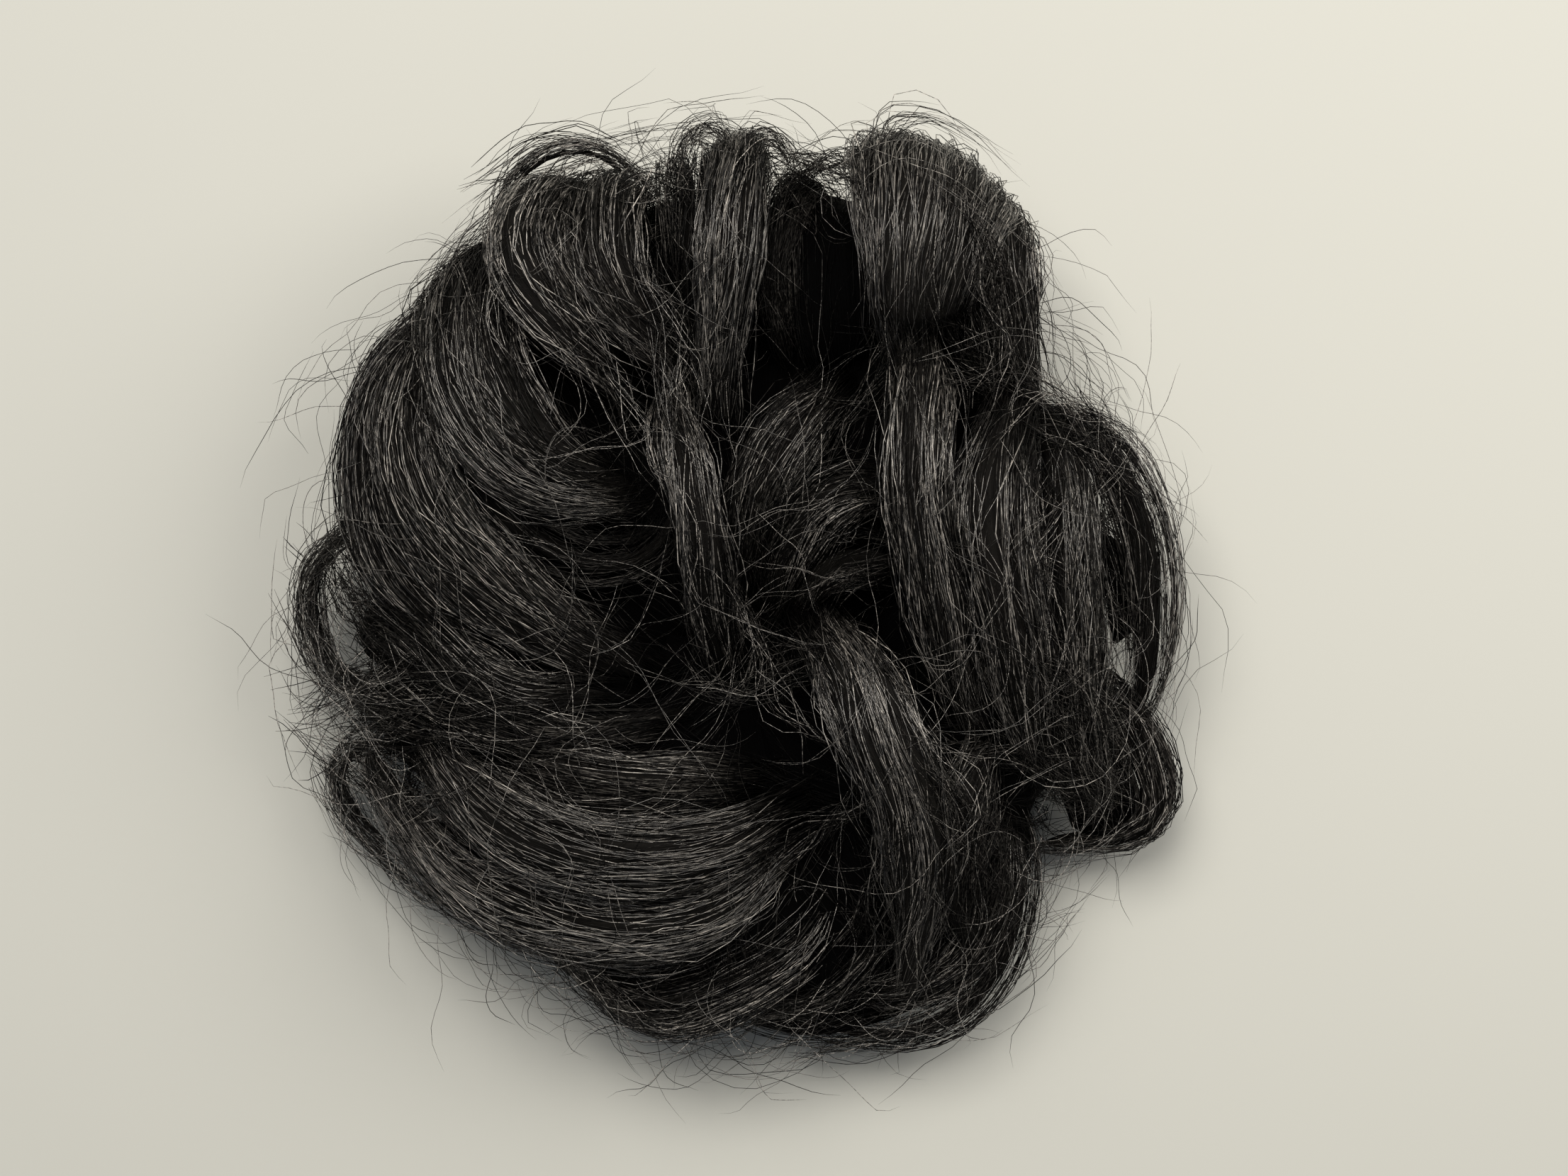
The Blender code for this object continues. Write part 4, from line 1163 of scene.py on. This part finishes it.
class BUN_OT_locks(bpy.types.Operator):
    """Make the named locks, each a soft body with combed strands"""
    bl_idname = "bun.locks"
    bl_label = "Locks"

    def execute(self, context):
        hair = context.scene.bun_hair
        for number, lock in enumerate(LOCKS):
            way = COMBS.get(lock.name, Comb())
            strands = round(lock.width * BUN_WIDTH * hair.strands_per_metre * way.density
                            * (1 - FEWER_IF_LOOSE * looseness(lock)))
            guide = lock_guide(lock, kit()["pile"])
            piece = comb(lock.name + "_hair", [guide], lock_body(lock), {
                "Strands": strands, "Clumps": max(4, round(strands / way.clump)),
                "Points": 2 + round(length_of(guide.line) / hair.point_step),
                "Strand Radius": hair.strand_radius, "Loft": way.loft,
                "Clump Spread": way.spread, "Clump Wave": hair.clump_wave,
                "Strand Wave": hair.strand_wave, "Wave Length": 0.019, "Stray Share": 0.20,
                "Stray Wave": hair.stray_wave * way.stray, "Twist": 0.9, "Wrap": 1.95,
                "Shortest": way.shortest, "Seed": 100 + number * 31})
            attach(piece, "root")
            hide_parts(lock.name)
        return {"FINISHED"}


def well_curls():
    """Slim locks that cross the well under the top locks, so that it isn't bare; near black and
    matt as painted shade.
    """
    radius_x = WELL_RADIUS * 1.25 / (BUN_WIDTH / 2)
    radius_y = WELL_RADIUS * 1.25 / (BUN_LENGTH / 2)
    curls = []
    for i in range(WELL_CURLS):
        turn = math.pi * (i * 4 % WELL_CURLS) / WELL_CURLS
        cos, sin = math.cos(turn), math.sin(turn)
        shift = random.uniform(-0.45, 0.45)
        level = WELL_CURL_HEIGHT + 0.02 * (i % 3)
        route = []
        for along in (-1, -0.5, 0, 0.5, 1):
            bend = math.cos(math.pi * along / 2)
            bow = shift + 0.25 * bend
            route.append((ROOT_X + radius_x * (along * cos - bow * sin),
                          ROOT_Y + radius_y * (along * sin + bow * cos), level - 0.03 * bend))
        curls.append(Lock("well_curl", 0.120, 0.070, 0.8, 0.8, DEEP_MATT, route))
    return curls


def under_guides():
    """Guides from the well's wall over the crest, down the side and in under the foot."""
    guides = []
    for i in range(UNDER_GUIDES):
        lean = random.uniform(-0.5, 0.9)
        route = []
        for j, row in enumerate(reversed(UNDER_RINGS)):
            turn = 2 * math.pi * (i + random.uniform(-0.15, 0.15)) / UNDER_GUIDES
            turn += lean * rounded_step(j / 5)
            route.append(under_point(turn, row.out, max(row.height, 0.01), row.curl, 0.0004))
        line = through_points(route, UNDER_POINTS)
        frames = []
        for k, point in enumerate(line):
            tangent = (line[min(k + 1, UNDER_POINTS - 1)] - line[max(k - 1, 0)]).normalized()
            flat = point - place(ROOT_X, ROOT_Y, 0)
            around = Vector((-flat.y, flat.x, 0)).normalized()
            side = (around - tangent * around.dot(tangent)).normalized()
            frames.append((side, side.cross(tangent)))
        guides.append(Guide(line, frames, *([value] * UNDER_POINTS for value in (
            0.0055, 0.0014, Vector(), Vector((1, 1, 1)))), 0.96))
    return guides


class BUN_OT_under_hair(bpy.types.Operator):
    """Make the lower curls round the well, with strands from the band out and under"""
    bl_idname = "bun.under_hair"
    bl_label = "Under Hair"

    def execute(self, context):
        hair = context.scene.bun_hair
        shared = kit()
        rings = [[under_point(2 * math.pi * i / UNDER_STEPS, row.out, row.height, row.curl, 0.0012)
                  for row in UNDER_RINGS] for i in range(UNDER_STEPS)]
        ring = body_object("under_hair_body", rings, closed=True)
        for corner in ring.data.uv_layers["strand_flow"].data:
            corner.uv = (corner.uv[1] * 9.0, corner.uv[0])
        random.seed(11)
        deep = [*well_curls(), *DEEP_LOCKS]
        body = joined_bodies("under_hair_body", [ring, *map(lock_body, deep)])
        guides = under_guides() + [lock_guide(lock, shared["pile"])
                                   for lock in deep for _ in range(DEEP_GUIDES)]
        # The under hair takes the near-black under materials, as painted shade
        piece = comb("under_hair_curls", guides, body, {
            **LOOSE_HAIR, "Strands": 15, "Clumps": 5, "Points": 12,
            "Strand Radius": hair.strand_radius, "Clump Spread": 0.5, "Clump Wave": 0.0016,
            "Strand Wave": 0.0012, "Wave Length": 0.016, "Stray Share": 0.06,
            "Stray Wave": 0.003, "Twist": 1.0, "Seed": 7000,
            "Strand Material": shared["under_strand"], "Body Material": shared["under_body"]})
        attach(piece, "root")
        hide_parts("under_hair")
        return {"FINISHED"}


# Steps round the band, sides of its cord, and the ribs that its cover winds round the cord
BAND_STEPS = 240
BAND_SIDES = 12
BAND_RIBS = 48
RIB_HEIGHT = 0.05


def band_rings(low, high):
    """Rings of points round the covered cord, which fills the solid's box."""
    middle = (low + high) / 2
    cord = (high.z - low.z) / 2
    ring_radius = (high.x - low.x) / 2 - cord
    rings = []
    for i in range(BAND_STEPS):
        turn = 2 * math.pi * i / BAND_STEPS
        along = Vector((math.cos(turn), math.sin(turn), 0))
        ring = []
        for k in range(BAND_SIDES):
            angle = 2 * math.pi * k / BAND_SIDES
            out = cord * (1 - RIB_HEIGHT + RIB_HEIGHT * math.cos(BAND_RIBS * turn + angle))
            ring.append(middle + along * (ring_radius + out * math.cos(angle))
                        + Vector((0, 0, out * math.sin(angle))))
        rings.append(ring)
    return rings


def elastic_material():
    """Matt black cord cover, woven aslant."""
    material, t, shader = new_material("elastic_cord")
    flow = t.first("ShaderNodeUVMap", uv_map="strand_flow")
    weave = t.add("ShaderNodeTexWave", {"Vector": flow, "Scale": 60.0, "Distortion": 0.6},
                  wave_type="BANDS", bands_direction="DIAGONAL").outputs["Fac"]
    dress(t, shader, weave, (0.006, 0.006, 0.007, 1.0), (0.022, 0.021, 0.023, 1.0), 0.75,
          (0.8, 0.0003, weave))
    shader["Sheen Weight"].default_value = 0.3
    return material


class BUN_OT_elastic_band(bpy.types.Operator):
    """Make the covered elastic ring under the roots"""
    bl_idname = "bun.elastic_band"
    bl_label = "Elastic Band"

    def execute(self, context):
        rings = band_rings(*map(Vector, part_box("elastic_band")))
        piece = body_object("elastic_band_cord", rings, closed=True)
        piece.data.materials.append(elastic_material())
        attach(piece, "root")
        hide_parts("elastic_band")
        return {"FINISHED"}


def even_guide(line, spread, matt):
    """A guide for loose hair, as wide from end to end, with painted shade from the sky that it
    sees.
    """
    count = len(line)
    skies = [Vector([openness(point, kit()["pile"])] * 3) for point in line]
    return Guide(line, frames_along(line), [spread] * count, [0.6 * spread] * count,
                 [Vector()] * count, skies, matt)


class BUN_OT_loose_wisps(bpy.types.Operator):
    """Make the thin tangles that bridge the gaps between the locks"""
    bl_idname = "bun.loose_wisps"
    bl_label = "Loose Wisps"

    def execute(self, context):
        hair = context.scene.bun_hair
        pile = kit()["pile"]
        random.seed(23)
        guides = []
        for tangle in TANGLES:
            flat = [place(x, y, 0) for x, y in tangle.route]
            for _ in range(max(1, round(tangle.strands / hair.strands_per_wisp))):
                bend = random.uniform(-1, 1) * tangle.spread
                moved = [p + Vector((random.gauss(0, 0.4), random.gauss(0, 0.4), 0))
                         * tangle.spread + Vector((bend, -bend, 0)) * (k / 3 - 0.5)
                         for k, p in enumerate(flat)]
                line = laid_over(through_points(moved, 16, 0.1, 0.1), pile,
                                 random.uniform(-0.003, 0.0015))
                guides.append(even_guide(line, random.uniform(0.0006, 0.0022), tangle.matt))
        piece = comb("loose_wisps", guides, None, {
            **LOOSE_HAIR, "Strands": hair.strands_per_wisp, "Clumps": 3, "Points": 13,
            "Strand Radius": hair.strand_radius * 0.9, "Clump Wave": 0.001,
            "Strand Wave": 0.0018, "Wave Length": 0.013, "Stray Share": 0.3,
            "Stray Wave": 0.004, "Seed": 9000})
        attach(piece, "root")
        return {"FINISHED"}


class BUN_OT_surface_hairs(bpy.types.Operator):
    """Make the single wavy hairs that lie over the locks and cross them"""
    bl_idname = "bun.surface_hairs"
    bl_label = "Surface Hairs"

    def execute(self, context):
        hair = context.scene.bun_hair
        pile = kit()["pile"]
        random.seed(29)
        guides = []
        for _ in range(hair.surface_hairs):
            lock = random.choice(LOCKS)
            line = through_points(placed(lock)[0], 24)
            k = random.randint(1, 22)
            tangent = line[k + 1] - line[k - 1]
            heading = math.atan2(tangent.y, tangent.x) + random.gauss(0, 0.42)
            heading += random.choice((0, math.pi))
            side = frames_along(line)[k][0]
            start = line[k] + side * random.gauss(0, 0.4) * lock.width * BUN_WIDTH
            flat = wander(start, heading, random.uniform(0.0020, 0.0036), 14,
                          random.gauss(0, 0.13), random.uniform(0.1, 0.45),
                          random.uniform(0.94, 1.06))
            line = laid_over(flat, pile, random.uniform(-0.0004, 0.0022))
            guides.append(even_guide(line, random.uniform(0.0002, 0.0012), 0.5))
        piece = comb("surface_hairs", guides, None, {
            **LOOSE_HAIR, "Strands": 2, "Clumps": 2, "Points": 13,
            "Strand Radius": hair.strand_radius * 0.58, "Clump Wave": 0.0006,
            "Strand Wave": 0.0010, "Wave Length": 0.012, "Seed": 10000})
        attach(piece, "root")
        return {"FINISHED"}


class BUN_OT_flyaways(bpy.types.Operator):
    """Make the fine single hairs that stand out round the edge"""
    bl_idname = "bun.flyaways"
    bl_label = "Flyaways"

    def execute(self, context):
        hair = context.scene.bun_hair
        random.seed(37)
        guides = []
        for _ in range(hair.flyaways):
            angle = random.uniform(0, 2 * math.pi)
            out = random.uniform(0.80, 0.96)
            rise = random.uniform(0.12, 0.62)
            start = place(out * math.cos(angle), out * math.sin(angle), rise)
            sense = random.choice((-1, 1))
            outward = random.uniform(0.20, 1.15)
            heading = angle + sense * (math.pi / 2 - outward)
            step = random.triangular(0.0011, 0.0036, 0.0014)
            flat = wander(start, heading, step, 14, sense * random.uniform(0.0, 0.30),
                          random.uniform(0.0, 0.5), random.uniform(1.03, hair.reach))
            lift = random.uniform(-0.25, 0.5)
            line = [Vector((point.x, point.y, max(0.002, start.z + lift * step * k)))
                    for k, point in enumerate(flat)]
            guides.append(even_guide(line, 0.0004, 0.5))
        piece = comb("flyaway_hairs", guides, None, {
            **LOOSE_HAIR, "Strands": 1, "Clumps": 1, "Points": 12,
            "Strand Radius": hair.strand_radius * 0.7, "Clump Spread": 3.0, "Clump Wave": 0.0,
            "Strand Wave": 0.0014, "Wave Length": 0.014, "Shortest": 0.7, "Seed": 12000})
        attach(piece, "root")
        return {"FINISHED"}


def make_floor(colour):
    bpy.ops.mesh.primitive_plane_add(size=6.0, location=(0, 0, 0))
    floor = bpy.context.object
    floor.name = "floor"
    material, _, shader = new_material("plain_floor")
    shader["Base Color"].default_value = tuple(colour)
    shader["Roughness"].default_value = 0.6
    floor.data.materials.append(material)
    return floor


def make_light(name, power, size, spot):
    """A soft square light that shines on the middle of the floor."""
    light = bpy.data.lights.new(name, "AREA")
    light.energy = power
    light.size = size
    light.color = (1.0, 0.975, 0.93)
    lamp = linked(name, light)
    lamp.location = spot
    lamp.rotation_euler = (-Vector(spot)).to_track_quat("-Z", "Y").to_euler()


def make_world(strength):
    """Even, slightly cool light from all round."""
    world = bpy.data.worlds.new("studio")
    world.use_nodes = True
    sky = world.node_tree.nodes["Background"].inputs
    sky["Color"].default_value = (0.88, 0.96, 1.10, 1.0)
    sky["Strength"].default_value = strength
    return world


def make_camera(lens, elevation):
    """A camera at the photograph's angle, as far off as makes a pixel the right size."""
    camera = bpy.data.cameras.new("camera")
    camera.sensor_width = 36.0
    camera.lens = lens
    target = SHIFT + Vector(CAMERA_TARGET)
    distance = PHOTO_WIDTH * PIXEL * lens / camera.sensor_width
    back = Vector((0, -math.cos(elevation), math.sin(elevation)))
    viewer = linked("camera", camera)
    viewer.location = target + back * distance
    viewer.rotation_euler = (math.pi / 2 - elevation, 0, 0)
    return viewer


class BUN_OT_stage(bpy.types.Operator):
    """Make the floor, the lights and the camera"""
    bl_idname = "bun.stage"
    bl_label = "Stage"

    def execute(self, context):
        stage = context.scene.bun_stage
        floor = make_floor(stage.floor_colour)
        make_light("key_light", stage.key_power, 0.60, (-0.16, 0.42, 1.05))
        make_light("fill_light", stage.fill_power, 0.50, (0.50, 0.28, 0.58))
        context.scene.world = make_world(stage.sky_strength)
        context.scene.view_settings.view_transform = "Standard"
        context.scene.camera = make_camera(stage.lens, stage.elevation)
        return {"FINISHED"}


OPERATORS = (BUN_OT_stage, BUN_OT_elastic_band, BUN_OT_under_hair, BUN_OT_locks,
             BUN_OT_loose_wisps, BUN_OT_surface_hairs, BUN_OT_flyaways)


class BUN_PT_panel(bpy.types.Panel):
    """Lists the steps that build the bun"""
    bl_idname = "BUN_PT_panel"
    bl_label = "Messy Bun"
    bl_space_type = "VIEW_3D"
    bl_region_type = "UI"
    bl_category = "Bun"

    def draw(self, context):
        for step in OPERATORS:
            self.layout.operator(step.bl_idname)
        for settings in (context.scene.bun_hair, context.scene.bun_stage):
            for name in settings.bl_rna.properties.keys():
                if name not in ("rna_type", "name"):
                    self.layout.prop(settings, name)


CLASSES = (HairSettings, StageSettings, *OPERATORS, BUN_PT_panel)


def register():
    for item in CLASSES:
        bpy.utils.register_class(item)
    bpy.types.Scene.bun_hair = bpy.props.PointerProperty(type=HairSettings)
    bpy.types.Scene.bun_stage = bpy.props.PointerProperty(type=StageSettings)


def unregister():
    del bpy.types.Scene.bun_stage
    del bpy.types.Scene.bun_hair
    for item in reversed(CLASSES):
        bpy.utils.unregister_class(item)


def main():
    register()
    bpy.ops.bun.stage()
    bpy.ops.bun.elastic_band()
    bpy.ops.bun.under_hair()
    bpy.ops.bun.locks()
    bpy.ops.bun.loose_wisps()
    bpy.ops.bun.surface_hairs()
    bpy.ops.bun.flyaways()


if __name__ == "__main__":
    main()
